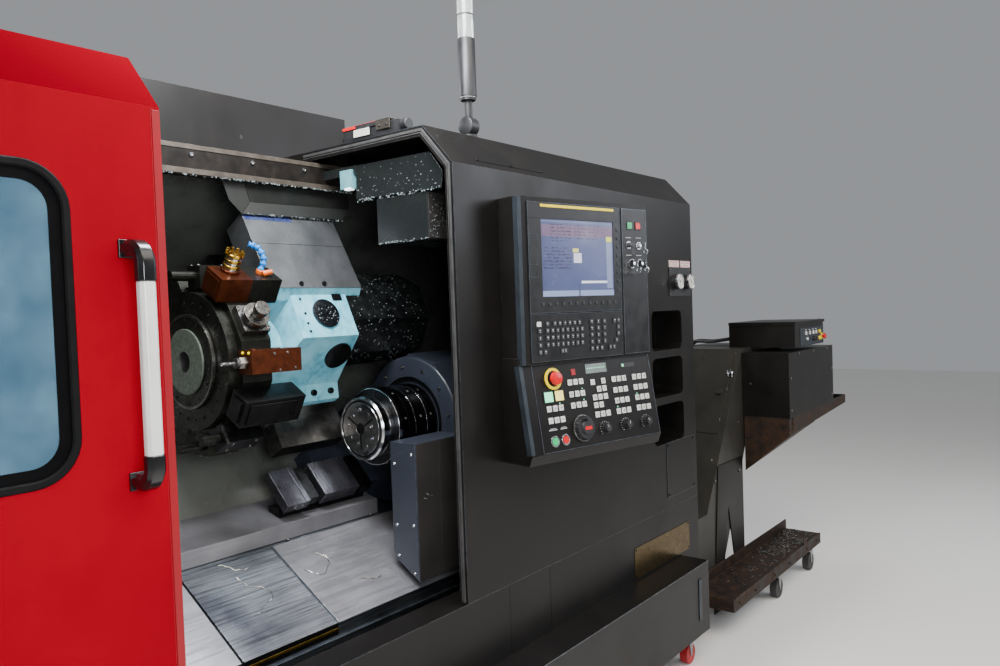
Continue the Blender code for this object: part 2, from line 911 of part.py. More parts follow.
def make_caster(name, x, y, seat, radius, width, tyre):
    """A swivel caster: the fork turns under its seat, and the wheel turns in the fork."""
    pivot = (x, y, seat - fit)
    axle_x = x + caster_offset
    gap = width / 2 + caster_side_gap
    wall = gap + caster_fork_wall
    top = seat - fit
    length = caster_offset + radius / 2
    plate_low = (x - length / 2, y - wall, top - caster_plate)
    fork = block(f"{name}_fork", plate_low, (x + length, y + wall, top), pivot)
    for side in (-1, 1):
        low_y, high_y = sorted((y + side * gap, y + side * wall))
        cheek = [
            (x, top - caster_plate / 2),
            (x + length, top - caster_plate / 2),
            (axle_x + axle_radius, radius - axle_radius),
            (axle_x - axle_radius, radius - axle_radius),
        ]
        fuse(fork, prism("fork_cheek", cheek, "Y", low_y, high_y))
    keep(fork, steel)
    axle = (axle_x, y, radius + fit)
    start = (axle_x, y - width / 2, radius + fit)
    wheel = rod(f"{name}_wheel", start, (0, 1, 0), radius, width, axle, steps=24)
    keep(wheel, tyre)


def conveyor_points():
    """Points of the conveyor's side outline that other pieces share: its upper edge runs up the slope."""
    run_top = tank_foot + sheet + fit + conveyor_run_height
    reach = (conveyor_top - run_top) / math.tan(conveyor_slope)
    across = conveyor_thickness / math.sin(conveyor_slope)
    foot_reach = (conveyor_top - conveyor_head_foot) / math.tan(conveyor_slope)
    return run_top, conveyor_top_x - reach, across, conveyor_top_x - foot_reach + across


def make_conveyor():
    bottom = tank_foot + sheet + fit
    run_top, knee_x, across, under_x = conveyor_points()
    bend = (conveyor_head_foot - bottom) / math.tan(conveyor_slope)
    outline = [
        (conveyor_left, bottom),
        (conveyor_bend_x, bottom),
        (under_x - bend + conveyor_head_bevel, bottom + conveyor_head_bevel),
        (under_x, conveyor_head_foot),
        (conveyor_head_right, conveyor_head_foot),
        (conveyor_head_right, conveyor_top - conveyor_head_bevel),
        (conveyor_head_right - conveyor_head_bevel, conveyor_top),
        (conveyor_top_x, conveyor_top),
        (knee_x, run_top),
        (conveyor_left, run_top),
    ]
    back = conveyor_front + conveyor_width
    body = prism("conveyor_body", outline, "Y", conveyor_front, back)
    low = (trough_left, conveyor_front + trough_wall, trough_floor + bottom)
    cut(body, block("conveyor_trough", low, (trough_right, back - trough_wall, run_top + overrun)))
    low = (mouth_left, conveyor_front + trough_wall, conveyor_head_foot - overrun)
    high = (mouth_right, back - trough_wall, conveyor_head_foot + mouth_depth)
    cut(body, block("conveyor_mouth", low, high))
    keep(body, black_paint)


def make_conveyor_guard():
    """The cover of the belt's drive, with the sloping channel that catches loose chips bolted under it."""
    back = conveyor_front - fit
    low = (guard_left, guard_front, guard_bottom)
    guard = block("conveyor_drive_guard", low, (guard_right, back, guard_top))
    low = (guard_left + sheet, guard_front + sheet, guard_bottom + sheet)
    high = (guard_right - sheet, back + overrun, guard_top - sheet)
    left = guard_left + chute_lip
    inner_foot = chute_foot + sheet
    outline = [
        (left, chute_foot),
        (chute_right, chute_foot + chute_rise),
        (chute_right, chute_foot + chute_rise + chute_lip),
        (left, guard_bottom + sheet),
    ]
    fuse(guard, prism("chip_chute", outline, "Y", chute_front, chute_front + chute_width))
    cut(guard, block("guard_cavity", low, high))
    cavity = [
        (left + sheet, inner_foot),
        (chute_right - sheet, inner_foot + chute_rise),
        (chute_right - sheet, guard_bottom + overrun * 2),
        (guard_right - overrun, guard_bottom + overrun * 2),
        (guard_right - overrun, guard_bottom - sheet),
        (left + sheet, guard_bottom - sheet),
    ]
    cut(guard, prism("chute_cavity", cavity, "Y", chute_front + sheet, chute_front + chute_width - sheet))
    keep(guard, black_paint)


def make_conveyor_controls():
    bottom = conveyor_top + fit
    top = bottom + control_height
    low = (control_left, control_front, bottom)
    box = block("conveyor_control_box", low, (control_right, control_back, top))
    low = (control_left + sheet, control_front + sheet, bottom + sheet)
    high = (control_right - sheet, control_back - sheet, top + overrun)
    keep(cut(box, block("control_cavity", low, high)), black_paint)
    hinge = ((control_left + control_right) / 2, control_back, top + fit)
    low = (control_left - lid_overhang, control_front - lid_overhang, top + fit)
    high = (control_right + lid_overhang, control_back, top + fit + lid_height)
    keep(block("conveyor_control_lid", low, high, hinge), black_paint)


def make_conveyor_stand():
    run_top, knee_x, across, under_x = conveyor_points()
    left = knee_x + (stand_top - run_top) / math.tan(conveyor_slope)
    right = left + stand_width
    foot_left = left - stand_leg_width
    outline = [
        (left, stand_top),
        (foot_left, 0),
        (foot_left + stand_leg_width, 0),
        ((foot_left + right) / 2, stand_notch_height),
        (right - stand_leg_width, 0),
        (right, 0),
        (right, stand_top),
    ]
    back = conveyor_front - fit
    keep(prism("conveyor_stand", outline, "Y", back - stand_thickness, back), black_paint)


def make_conveyor_hatch():
    """The inspection plate on the incline, hinged along its top edge, with its turn latch."""
    run = Vector((math.cos(conveyor_slope), 0, math.sin(conveyor_slope)))
    out = Vector((-math.sin(conveyor_slope), 0, math.cos(conveyor_slope)))
    top = Vector((conveyor_top_x, 0, conveyor_top)) - run * hatch_top_inset + out * fit
    low = top - run * hatch_length
    corners = [top, top + out * hatch_thickness, low + out * hatch_thickness, low]
    outline = [(corner.x, corner.z) for corner in corners]
    start = conveyor_front + hatch_margin
    end = conveyor_front + conveyor_width - hatch_margin
    hinge = (top.x, (start + end) / 2, top.z)
    hatch = prism("conveyor_hatch", outline, "Y", start, end, hinge)
    seat = (top + low) / 2 + out * hatch_thickness / 2 + Vector((0, start + hatch_margin, 0))
    fuse(hatch, rod("hatch_latch", seat, out, latch_radius, latch_height, steps=small_steps))
    keep(hatch, black_paint)


def make_conveyor_deck():
    deck_back = conveyor_front - stand_thickness - 2 * fit
    deck = block("conveyor_deck", (deck_left, deck_front, deck_foot), (deck_right, deck_back, deck_top))
    low = (deck_left + sheet, deck_front + sheet, deck_foot - overrun)
    cut(deck, block("deck_cavity", low, (deck_right - sheet, deck_back - sheet, deck_top - sheet)))
    lip_low = (deck_left, deck_back - sheet, deck_top - overrun)
    fuse(deck, block("deck_lip", lip_low, (deck_right, deck_back, deck_top + deck_lip_height)))
    for x in (conveyor_caster_near, conveyor_caster_far):
        seat_low = (x - caster_seat, deck_front + sheet / 2, deck_foot)
        seat_high = (x + caster_seat, deck_back - sheet / 2, deck_foot + sheet)
        fuse(deck, block("caster_seat", seat_low, seat_high))
    keep(deck, steel)


def make_sub_spindle():
    back = sub_face + sub_nose_length + sub_body_length
    left = back + fit
    housing = spindle_block("sub_spindle_head", left, left + housing_length, housing_radius)
    foot_out = -way_depth + fit
    low = slanted(-housing_radius - overrun, foot_out)
    behind = [
        low,
        slanted(housing_radius + overrun, foot_out),
        slanted(housing_radius + overrun, foot_out - housing_radius),
        slanted(-housing_radius - overrun, foot_out - housing_radius),
    ]
    cut(housing, prism("way_face", behind, "X", left - overrun, left + housing_length + overrun))
    bore_start = (left - overrun, spindle_y, spindle_height)
    bore = rod("sub_bore", bore_start, (1, 0, 0), shaft_radius + shaft_clearance, housing_length / 2)
    cut(housing, bore)
    notch_low = (left - overrun, 0, drive_cover_foot - overrun)
    notch_right = drive_cover_left + drive_cover_width + fit
    notch_high = (notch_right, drive_cover_front + drive_cover_depth + fit, drive_cover_top + fit)
    cut(housing, block("cover_notch", notch_low, notch_high))
    raised = floor_clearance
    under = [
        (floor_front, floor_front_height + raised),
        (floor_step, floor_step_height + raised),
        (bed_rear, floor_back_height + raised),
        (bed_rear, bed_foot),
        (floor_front, bed_foot),
    ]
    cut(housing, prism("floor_side", under, "X", left - overrun, left + housing_length + overrun))
    right = left + overrun
    way_box = slanted_box("way_box", way_box_left, right, way_box_low, way_box_high, foot_out, -way_box_out)
    fuse(housing, way_box)
    keep(housing, grey_paint)
    face = sub_nose_length + sub_body_length
    tail = housing_length / 2 - overrun - shaft_clearance
    profile = [
        (face, sub_bore_radius),
        (face, sub_nose_radius - chuck_chamfer),
        (face - chuck_chamfer, sub_nose_radius),
        (sub_body_length, sub_nose_radius),
        (sub_body_length, sub_body_radius),
        (0, sub_body_radius),
        (0, shaft_radius),
        (-tail, shaft_radius),
        (-tail, sub_bore_radius),
        (face, sub_bore_radius),
    ]
    centre = (back, spindle_y, spindle_height)
    chuck = turned("sub_chuck", profile, centre, (-1, 0, 0), centre)
    for number in range(jaw_count):
        angle = 2 * math.pi * (number + 1 / 2) / jaw_count
        low = (sub_face - overrun, -sub_slot_width / 2, 2 * sub_bore_radius)
        high = (sub_face + sub_slot_depth, sub_slot_width / 2, 2 * sub_bore_radius + sub_slot_length)
        slot = block("sub_slot", low, high)
        on_axis = Matrix.Translation((0, spindle_y, spindle_height))
        slot.data.transform(on_axis @ Matrix.Rotation(angle, 4, "X"))
        cut(chuck, slot)
    keep(chuck, black_steel)
    make_drive_cover()


def make_drive_cover():
    """The sheet box below the sub-spindle that houses its belt, set in a notch of the head."""
    back = drive_cover_front + drive_cover_depth
    outline = [
        (drive_cover_front, drive_cover_foot),
        (drive_cover_front, drive_cover_top),
        (back, drive_cover_top),
        (back, drive_cover_foot + drive_cover_rise),
    ]
    cover = prism("sub_drive_cover", outline, "X", drive_cover_left, drive_cover_left + drive_cover_width)
    keep(cover, grey_paint)


def slanted_box(name, left, right, low, high, back, front, rise=0.0):
    """A box along x whose section lies square to the bed's slant."""
    corners = ((low, back), (high, back), (high, front), (low, front))
    return prism(name, [slanted(along, out, rise) for along, out in corners], "X", left, right)


def make_saddle():
    back = -way_depth + fit
    front = -slide_top_depth - slide_thickness - fit
    right = head_left + saddle_width
    saddle = slanted_box("saddle", head_left, right, saddle_low, saddle_high, back, front, turret_rise)
    keep(saddle, grey_paint)


def make_cross_slide():
    front = -slide_top_depth - fit
    back = -slide_top_depth - slide_thickness
    left = head_left + slide_inset
    right = left + slide_width
    slide = slanted_box("cross_slide", left, right, slide_low, slide_high, back, front, turret_rise)
    left = slide_cover_left
    right = slide_cover_right
    low = slide_cover_low
    high = slide_low + overrun
    cover = slanted_box("slide_cover", left, right, low, high, back, -slide_cover_out, turret_rise)
    fuse(slide, cover)
    keep(slide, steel)


# Axes of the turret's own frame: x along the machine, y up the slant, z out to the operator
turret_frame = Matrix.Translation((0, turret_y, turret_z)) @ Matrix.Rotation(slant, 4, "X")


def in_turret_frame(obj, spin=0.0):
    """Moves a solid made in the turret's frame to the machine's, after turning it about the disc's axis."""
    obj.data.transform(turret_frame @ Matrix.Rotation(spin, 4, "X"))
    return obj


def make_turret_head():
    """The casting that carries the disc, with its cover plates and the cover of its motor."""
    section = [
        (head_low, -slide_top_depth),
        (head_high, -slide_top_depth),
        (head_high, head_crest),
        (head_edge_low, head_edge_out),
        (head_belly_low, head_belly_out),
        (head_low, head_flange_out),
    ]
    outline = [slanted(along, out, turret_rise) for along, out in section]
    head = prism("turret_head", outline, "X", head_left, head_right)
    bevel = [
        (head_left - overrun, 0),
        (head_left, 0),
        (head_left + head_end_bevel, head_crest + overrun),
        (head_left - overrun, head_crest + overrun),
    ]
    cut(head, in_turret_frame(prism("head_bevel", bevel, "Y", head_low - overrun, head_high + overrun)))
    boss_left = disc_left + disc_length + fit
    boss_start = (boss_left, turret_y, turret_z)
    boss = rod("head_boss", boss_start, (1, 0, 0), head_shaft_radius, head_left + overrun - boss_left)
    fuse(head, boss)
    plate_right = head_right + plate_overhang
    corners = ((plate_low, plate_front), (plate_high, plate_front))
    back = plate_front - plate_depth
    plate = [slanted(along, out, turret_rise) for along, out in corners]
    plate += [slanted(plate_high, back, turret_rise), slanted(head_high - overrun, back, turret_rise)]
    plate += [slanted(head_high - overrun, head_edge_out, turret_rise)]
    fuse(head, prism("upper_cover", plate, "X", head_left, plate_right))
    centre = slanted(motor_cover_up, motor_cover_out, turret_rise)
    start = (head_right - overrun / 4, *centre)
    fuse(head, rod("motor_cover", start, (1, 0, 0), motor_cover_radius, motor_cover_length, steps=8))
    add_head_covers(head)
    keep(head, blue_paint)


def add_head_covers(head):
    """The two round covers and the bolts of the flange."""
    crest = Vector((0, head_high - head_edge_low, head_crest - head_edge_out)).normalized()
    belly = Vector((0, head_edge_low - head_belly_low, head_edge_out - head_belly_out)).normalized()
    upper = Vector((0, head_edge_low, head_edge_out)) + crest * upper_cover_back
    lower = Vector((0, head_edge_low, head_edge_out)) - belly * lower_cover_back
    upper_x = head_right - round_cover_inset
    lower_x = head_right - round_cover_inset / 2
    for middle, run, x in ((upper, crest, upper_x), (lower, belly, lower_x)):
        out = Vector((0, -run.z, run.y))
        start = middle - out * overrun + Vector((x, 0, 0))
        cover = rod("round_cover", start, out, round_cover_radius, overrun + round_cover_height)
        fuse(head, in_turret_frame(cover))
    seat = Vector((0, (head_low + head_belly_low) / 2, (head_flange_out + head_belly_out) / 2))
    run = Vector((0, head_belly_low - head_low, head_belly_out - head_flange_out)).normalized()
    out = Vector((0, -run.z, run.y))
    for number in range(flange_bolt_count):
        share = (number + 1 / 2) / flange_bolt_count
        x = head_left + head_end_bevel + (head_right - head_left - head_end_bevel) * share
        start = seat - out * flange_bolt_height + Vector((x, 0, 0))
        bolt = rod("flange_bolt", start, out, flange_bolt_radius, 2 * flange_bolt_height, steps=small_steps)
        fuse(head, in_turret_frame(bolt))


def station_block(name, station, low, high):
    """A box on one of the disc's flats: y across the flat and z out from the disc's axis."""
    return in_turret_frame(block(name, low, high), station_angle(station))


def station_angle(station):
    return 2 * math.pi * station / disc_stations


def make_disc():
    """The tool disc with its fixed holders. Station 0 points out along the slant frame's z."""
    right = disc_left + disc_length
    corner_radius = disc_apothem / math.cos(math.pi / disc_stations)
    outline = [
        (corner_radius * math.sin(angle), corner_radius * math.cos(angle))
        for angle in (2 * math.pi * (corner + 1 / 2) / disc_stations for corner in range(disc_stations))
    ]
    disc = in_turret_frame(prism("turret_disc", outline, "X", disc_left, right))
    disc_offset = Matrix.Translation((0, -turret_y, -turret_z))
    disc.data.transform(disc_offset)
    disc.location = (0, turret_y, turret_z)
    left = disc_left
    for name, radius, length in (
        ("disc_drum", drum_radius, drum_length),
        ("disc_ring", ring_radius, ring_length),
        ("disc_cap", cap_radius, cap_length),
    ):
        start = (left - length, turret_y, turret_z)
        fuse(disc, rod(name, start, (1, 0, 0), radius, length + overrun))
        left -= length
    for station in (2, 5, 7, 9, 11):
        fuse(disc, turning_block(station))
    for station in (3, 4, 6, 8, 10):
        for piece in boring_block(station):
            fuse(disc, piece)
    keep(disc, steel)


def turning_block(station):
    """A square-shank holder: a block with the tool's shank standing out of its face."""
    low = (holder_left + overrun, -block_width / 2, disc_apothem - overrun / 4)
    high = (holder_right, block_width / 2, disc_apothem + block_height)
    return station_block("turning_block", station, low, high)


def boring_block(station):
    """A block with a bored bar pointing at the main spindle."""
    low = (holder_left + overrun, -boring_width / 2, disc_apothem - overrun / 4)
    high = (disc_left + disc_length, boring_width / 2, disc_apothem + boring_height)
    bar_out = disc_apothem + boring_height / 2
    start = (holder_left + overrun - bar_length, 0, bar_out)
    bar = rod("boring_bar", start, (1, 0, 0), bar_radius, bar_length + overrun, steps=small_steps)
    return station_block("boring_block", station, low, high), in_turret_frame(bar, station_angle(station))


def make_radial_live_holder():
    """The driven holder whose collet points straight out from the disc."""
    middle = disc_left + disc_length / 2
    foot = disc_apothem + holder_gap
    low = (middle - live_plate_width / 2, -live_plate_width / 2, foot)
    high = (middle + live_plate_width / 2, live_plate_width / 2, foot + live_plate_height)
    holder = station_block("radial_live_holder", 0, low, high)
    body_start = (middle, 0, foot + live_plate_height - overrun / 4)
    body = rod("live_body", body_start, (0, 0, 1), live_body_radius, live_body_height + overrun / 4)
    keep(fuse(holder, in_turret_frame(body)), steel)
    top = foot + live_plate_height + live_body_height + fit
    start = (middle, 0, top)
    collet = rod("radial_collet", start, (0, 0, 1), collet_radius, collet_height, steps=small_steps)
    keep(in_turret_frame(collet), steel)


def make_axial_live_holder():
    """The driven holder that turns a drill towards the main spindle."""
    foot = disc_apothem + holder_gap
    low = (axial_left, -axial_width / 2, foot)
    high = (axial_left + axial_length, axial_width / 2, foot + axial_height)
    keep(station_block("axial_live_holder", 1, low, high), copper_steel)
    out = foot + axial_bore_height
    tip = drill_collet_length + drill_length
    profile = [
        (tip, 0),
        (tip - drill_radius, drill_radius),
        (drill_collet_length, drill_radius),
        (drill_collet_length, drill_collet_radius),
        (0, drill_collet_radius),
        (0, 0),
    ]
    drill = turned("drill_spindle", profile, (axial_left - fit, 0, out), (-1, 0, 0), steps=small_steps)
    keep(in_turret_frame(drill, station_angle(1)), steel)


def make_door():
    right = door_left + door_width
    path = [
        (0, door_foot),
        (0, chamfer_foot),
        (chamfer_run, roof_height),
        (door_roof_depth, roof_height),
    ]
    door = folded_sheet("door_shell", path, door_left, right, door_wall)
    window_right = right - window_side_margin
    window_left = window_right - window_width
    window_top = window_foot + window_height
    hole = rounded((window_left, window_foot), (window_right, window_top), window_corner)
    cut(door, prism("window_hole", hole, "Y", -overrun, door_wall + overrun))
    hanger_top = roof_height - door_wall / 2
    for x in (door_left + roller_width, right - 2 * roller_width):
        low = (x, rail_front - overrun, rail_top + fit)
        fuse(door, block("door_hanger", low, (x + roller_width, rail_front + rail_depth, hanger_top)))
    keep(door, red_paint)
    low = (window_left + fit, window_foot + fit)
    glass = rounded(low, (window_right - fit, window_top - fit), window_corner - fit)
    keep(prism("door_window", glass, "Y", glass_setback, glass_setback + glass_thickness), window_glass)
    make_door_handle(right - handle_side_margin)


def make_door_handle(x):
    top = handle_foot + handle_height
    left, right = x - handle_width / 2, x + handle_width / 2
    front = -handle_reach - handle_depth
    handle = block("door_handle", (left, front, handle_foot), (right, -handle_reach, top))
    for foot in (handle_foot, top - bracket_height):
        low = (left, -handle_reach - overrun / 2, foot)
        fuse(handle, block("handle_bracket", low, (right, -fit, foot + bracket_height)))
    keep(handle, white_coat)


def make_panel():
    """The operator panel: an upright screen box over a console that leans out towards its lower edge."""
    mount = bpy.data.objects.new("panel_frame", None)
    parts.objects.link(mount)
    mount.parent = datum
    mount.location = (panel_x, panel_y, 0)
    mount.rotation_euler = (0, 0, -panel_turn)
    console = bpy.data.objects.new("console_frame", None)
    parts.objects.link(console)
    console.parent = mount
    console.location = (0, console_back, panel_foot)
    console.rotation_euler = (math.pi / 2 - math.atan(console_lean / console_drop), 0, 0)
    depth = panel_right
    panel = block("control_panel", (panel_left, 0, panel_foot), (panel_right, depth, panel_top))
    section = [
        (console_back, panel_foot + overrun),
        (console_back, panel_foot),
        (console_back - console_lean, panel_foot - console_drop),
        (console_back - console_lean + console_lip_back, panel_foot - console_drop - console_lip),
        (depth, panel_foot - console_drop - console_lip),
        (depth, panel_foot + overrun),
    ]
    fuse(panel, prism("console", section, "X", console_left, panel_right), carrier=mount)
    low = (column_left, -fit, guard_foot)
    cut(panel, block("column_side", low, (machine_length, machine_length, roof_height)))
    add_console_controls(panel, console)
    add_panel_controls(panel, mount)
    keep(panel, black_paint, mount)


def well(panel, carrier, place, radius, depth, steps=small_steps):
    """The hole in the console that a button moves in."""
    start = (*place, -depth)
    hole = rod("button_well", start, (0, 0, 1), radius + well_gap, depth + overrun, steps=steps)
    cut(panel, hole, carrier=carrier)


def add_console_controls(panel, console):
    place = (estop_along, -estop_down)
    ring = rod("estop_ring", (*place, -ring_height), (0, 0, 1), estop_ring_radius, 2 * ring_height)
    fuse(panel, ring, carrier=console)
    well(panel, console, place, estop_stem_radius, control_seat + estop_travel + fit)
    profile = [
        (estop_height, 0),
        (estop_height - ring_height, estop_radius - ring_height),
        (estop_stem_height + ring_height, estop_radius),
        (estop_stem_height, estop_radius - ring_height),
        (estop_stem_height, estop_stem_radius),
        (-control_seat, estop_stem_radius),
        (-control_seat, 0),
    ]
    keep(turned("estop", profile, (*place, 0), (0, 0, 1), (*place, 0), small_steps), red_plastic, console)
    for name, along, material in (
        ("cycle_start", start_along, green_plastic),
        ("feed_hold", stop_along, red_plastic),
    ):
        place = (along, -button_down)
        well(panel, console, place, button_radius, control_seat + button_travel + fit)
        start = (*place, -control_seat)
        button = rod(name, start, (0, 0, 1), button_radius, control_seat + button_height, start, small_steps)
        keep(button, material, console)
    add_handwheel(panel, console)
    for number in range(knob_count):
        name = f"override_knob_{number + 1}"
        start = (knob_first + knob_pitch * number, -knob_down, fit)
        knob = rod(name, start, (0, 0, 1), knob_radius, knob_height, start, small_steps, knob_radius * 5 / 6)
        skirt_radius = knob_radius + ring_height
        skirt = rod("knob_skirt", start, (0, 0, 1), skirt_radius, ring_height, (0, 0, 0), small_steps)
        keep(fuse(knob, skirt, carrier=console), black_plastic, console)


def add_handwheel(panel, console):
    place = (wheel_along, -wheel_down)
    bezel = rod("wheel_bezel", (*place, -ring_height), (0, 0, 1), wheel_bezel_radius, 2 * ring_height)
    fuse(panel, bezel, carrier=console)
    start = (*place, ring_height + fit)
    top_radius = wheel_radius * 9 / 10
    wheel = rod("handwheel", start, (0, 0, 1), wheel_radius, wheel_height, start, far_radius=top_radius)
    crank_start = (wheel_along, wheel_radius - crank_inset - wheel_down, ring_height + wheel_height / 2)
    length = wheel_height / 2 + crank_height
    crank = rod("wheel_crank", crank_start, (0, 0, 1), crank_radius, length, steps=small_steps)
    keep(fuse(wheel, crank, carrier=console), black_plastic, console)


def add_panel_controls(panel, mount):
    half = power_size / 2
    for number, (name, material) in enumerate((("power_on", green_plastic), ("power_off", red_plastic))):
        x = power_first + power_pitch * number
        deep = control_seat + button_travel + fit
        low = (x - half - well_gap, -overrun, power_height - half - well_gap)
        high = (x + half + well_gap, deep, power_height + half + well_gap)
        cut(panel, block("power_well", low, high), carrier=mount)
        low = (x - half, -button_height, power_height - half)
        high = (x + half, control_seat, power_height + half)
        keep(block(name, low, high, (x, 0, power_height)), material, mount)
    for number in range(switch_count):
        start = (switch_first + switch_pitch * number, -fit, switch_height)
        name = f"selector_switch_{number + 1}"
        switch = rod(name, start, (0, -1, 0), switch_radius, switch_base, start, small_steps)
        grip_front = -switch_base - switch_grip_height
        low = (start[0] - switch_grip_width / 2, grip_front, switch_height - switch_radius)
        high = (start[0] + switch_grip_width / 2, -switch_base / 2, switch_height + switch_radius * 4 / 5)
        keep(fuse(switch, block("switch_grip", low, high), carrier=mount), black_plastic, mount)


def make_gauges():
    left = gauge_first - gauge_radius - gauge_margin
    right = gauge_first + gauge_pitch + gauge_radius + gauge_margin
    front = -fit - gauge_board_thickness
    half = gauge_board_height / 2
    board = block("gauge_panel", (left, front, gauge_height - half), (right, -fit, gauge_height + half))
    for x in (gauge_first, gauge_first + gauge_pitch):
        start = (x, -2 * fit, gauge_height)
        fuse(board, rod("gauge_case", start, (0, -1, 0), gauge_radius, gauge_depth))
    keep(board, black_plastic)


def make_guard_lock():
    foot = roof_height + fit
    top = foot + lock_height
    right = lock_left + lock_width
    back = lock_front + lock_length
    lock = block("guard_lock", (lock_left, lock_front, foot), (right, back, top))
    lid_low = (lock_left - lock_lid / 2, lock_front + lock_length / 4, top - lock_lid / 2)
    fuse(lock, block("lock_lid", lid_low, (right + lock_lid / 2, back - lock_length / 4, top + lock_lid)))
    middle = ((lock_left + right) / 2, back - overrun, foot + lock_height / 2)
    length = overrun + lock_gland_length
    fuse(lock, rod("lock_gland", middle, (0, 1, 0), lock_gland_radius, length, steps=small_steps))
    keep(lock, black_plastic)


def make_tower():
    """A foot on the roof with two cheeks, and the tower that folds back between them."""
    foot = roof_height + fit
    centre = (tower_x, tower_y, foot)
    base = rod("tower_base", centre, (0, 0, 1), tower_foot_radius, tower_foot_height)
    half = tower_knuckle_length / 2
    slot = half / 2
    reach = tower_knuckle_radius
    low = (tower_x - half, tower_y - reach / 2, foot + tower_foot_height / 2)
    high = (tower_x + half, tower_y + reach / 2, tower_knuckle_height + reach / 2)
    fuse(base, block("tower_cheeks", low, high))
    low = (tower_x - slot, tower_y - reach, foot + tower_foot_height + fit)
    cut(base, block("tower_slot", low, (tower_x + slot, tower_y + reach, tower_knuckle_height + reach)))
    keep(base, black_plastic)
    pivot = (tower_x, tower_y, tower_knuckle_height)
    start = (tower_x - slot + fit, tower_y, tower_knuckle_height)
    tower = rod("signal_tower", start, (1, 0, 0), reach * 4 / 5, 2 * (slot - fit), pivot, small_steps)
    pole_low = (tower_x, tower_y, tower_knuckle_height + reach)
    body_foot = tower_knuckle_height + reach + tower_pole_height
    neck_low = (tower_x - slot + fit, tower_y - reach / 2, tower_knuckle_height)
    neck_high = (tower_x + slot - fit, tower_y + reach / 2, tower_knuckle_height + reach + overrun / 4)
    fuse(tower, block("tower_neck", neck_low, neck_high))
    fuse(tower, rod("tower_pole", pole_low, (0, 0, 1), tower_pole_radius, tower_pole_height + overrun / 2))
    start = (tower_x, tower_y, body_foot)
    fuse(tower, rod("tower_body", start, (0, 0, 1), tower_body_radius, tower_body_height))
    lens_foot = body_foot + tower_body_height
    for number in range(tower_lens_count):
        start = (tower_x, tower_y, lens_foot + tower_lens_height * number - overrun / 4)
        height = tower_lens_height + overrun / 4 - tower_groove
        radius = tower_lens_radius
        fuse(tower, rod("tower_lens", start, (0, 0, 1), radius, height + tower_groove / 2))
        neck = rod("tower_groove", start, (0, 0, 1), radius - tower_groove, height + tower_groove * 3 / 2)
        fuse(tower, neck)
    keep(tower, clear_plastic)


make_bed()
make_headstock()
make_main_chuck()
make_left_cover()
make_bulkhead()
make_inner_sheets()
make_column()
make_lower_front()
make_rear_housing()
make_rail()
make_cabinet()
make_tank()
tank_wheel_size = (tank_wheel_radius, tank_wheel_width)
make_caster("tank_caster", tank_caster_x, tank_caster_y, tank_foot, *tank_wheel_size, red_plastic)
make_conveyor()
make_conveyor_guard()
make_conveyor_controls()
make_conveyor_stand()
make_conveyor_hatch()
make_conveyor_deck()
for place, caster_x in (("near", conveyor_caster_near), ("far", conveyor_caster_far)):
    make_caster(f"conveyor_caster_{place}", caster_x, conveyor_caster_y, deck_foot, conveyor_wheel_radius,
                conveyor_wheel_width, grey_rubber)
make_sub_spindle()
make_saddle()
make_cross_slide()
make_turret_head()
make_disc()
make_radial_live_holder()
make_axial_live_holder()
make_door()
make_panel()
make_gauges()
make_guard_lock()
make_tower()
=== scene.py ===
import random
from math import atan2, cos, pi, radians, sin, sqrt

import bmesh
import bpy
from mathutils import Matrix, Vector


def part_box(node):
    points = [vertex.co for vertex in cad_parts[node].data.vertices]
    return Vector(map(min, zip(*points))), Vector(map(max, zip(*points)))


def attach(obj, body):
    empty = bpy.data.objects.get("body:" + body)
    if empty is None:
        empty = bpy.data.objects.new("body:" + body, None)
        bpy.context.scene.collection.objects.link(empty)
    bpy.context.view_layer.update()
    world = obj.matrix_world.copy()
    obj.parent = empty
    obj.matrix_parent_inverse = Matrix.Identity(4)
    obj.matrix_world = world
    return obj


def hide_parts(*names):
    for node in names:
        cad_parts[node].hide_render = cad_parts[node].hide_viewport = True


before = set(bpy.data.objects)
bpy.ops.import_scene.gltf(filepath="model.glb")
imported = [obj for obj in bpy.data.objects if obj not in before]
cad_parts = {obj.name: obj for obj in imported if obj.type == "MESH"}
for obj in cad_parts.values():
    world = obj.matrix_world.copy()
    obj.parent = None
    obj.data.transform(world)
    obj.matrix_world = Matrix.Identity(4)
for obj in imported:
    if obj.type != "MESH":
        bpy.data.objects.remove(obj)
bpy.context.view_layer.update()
print("frame loaded:", len(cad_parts), "nodes")

random.seed(11)

# machine frame: x from the left end, y back from the front sheet, z up from the floor
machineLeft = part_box("left_cover")[0][0]
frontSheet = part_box("lower_front_panel")[0][1]


def at(x, y, z):
    return Vector((machineLeft + x, frontSheet + y, z))


def hexColour(code, alpha=1.0):
    parts = [int(code[i:i + 2], 16) / 255 for i in (1, 3, 5)]
    linear = [c / 12.92 if c <= 0.04045 else ((c + 0.055) / 1.055) ** 2.4 for c in parts]
    return (*linear, alpha)


def perMetre(sizeMm):
    return 1000 / sizeMm  # texture scale that makes one feature this many millimetres wide


def addNode(tree, kind, settings=None, links=None):
    node = tree.nodes.new(kind)
    for key, value in (settings or {}).items():
        if key in node.inputs and not hasattr(node, key):
            node.inputs[key].default_value = value
        else:
            setattr(node, key, value)
    for key, socket in (links or {}).items():
        tree.links.new(socket, node.inputs[key])
    return node


finishes = {}                                  # every material, by its own name


def newMaterial(name):
    material = bpy.data.materials.new(name)
    finishes[name] = material
    material.use_nodes = True
    tree = material.node_tree
    return material, tree, tree.nodes["Principled BSDF"]


def surfacePoint(tree, stretch=(1, 1, 1)):
    place = addNode(tree, "ShaderNodeTexCoord")
    return addNode(tree, "ShaderNodeMapping", {"Scale": stretch},
        {"Vector": place.outputs["Object"]}).outputs["Vector"]


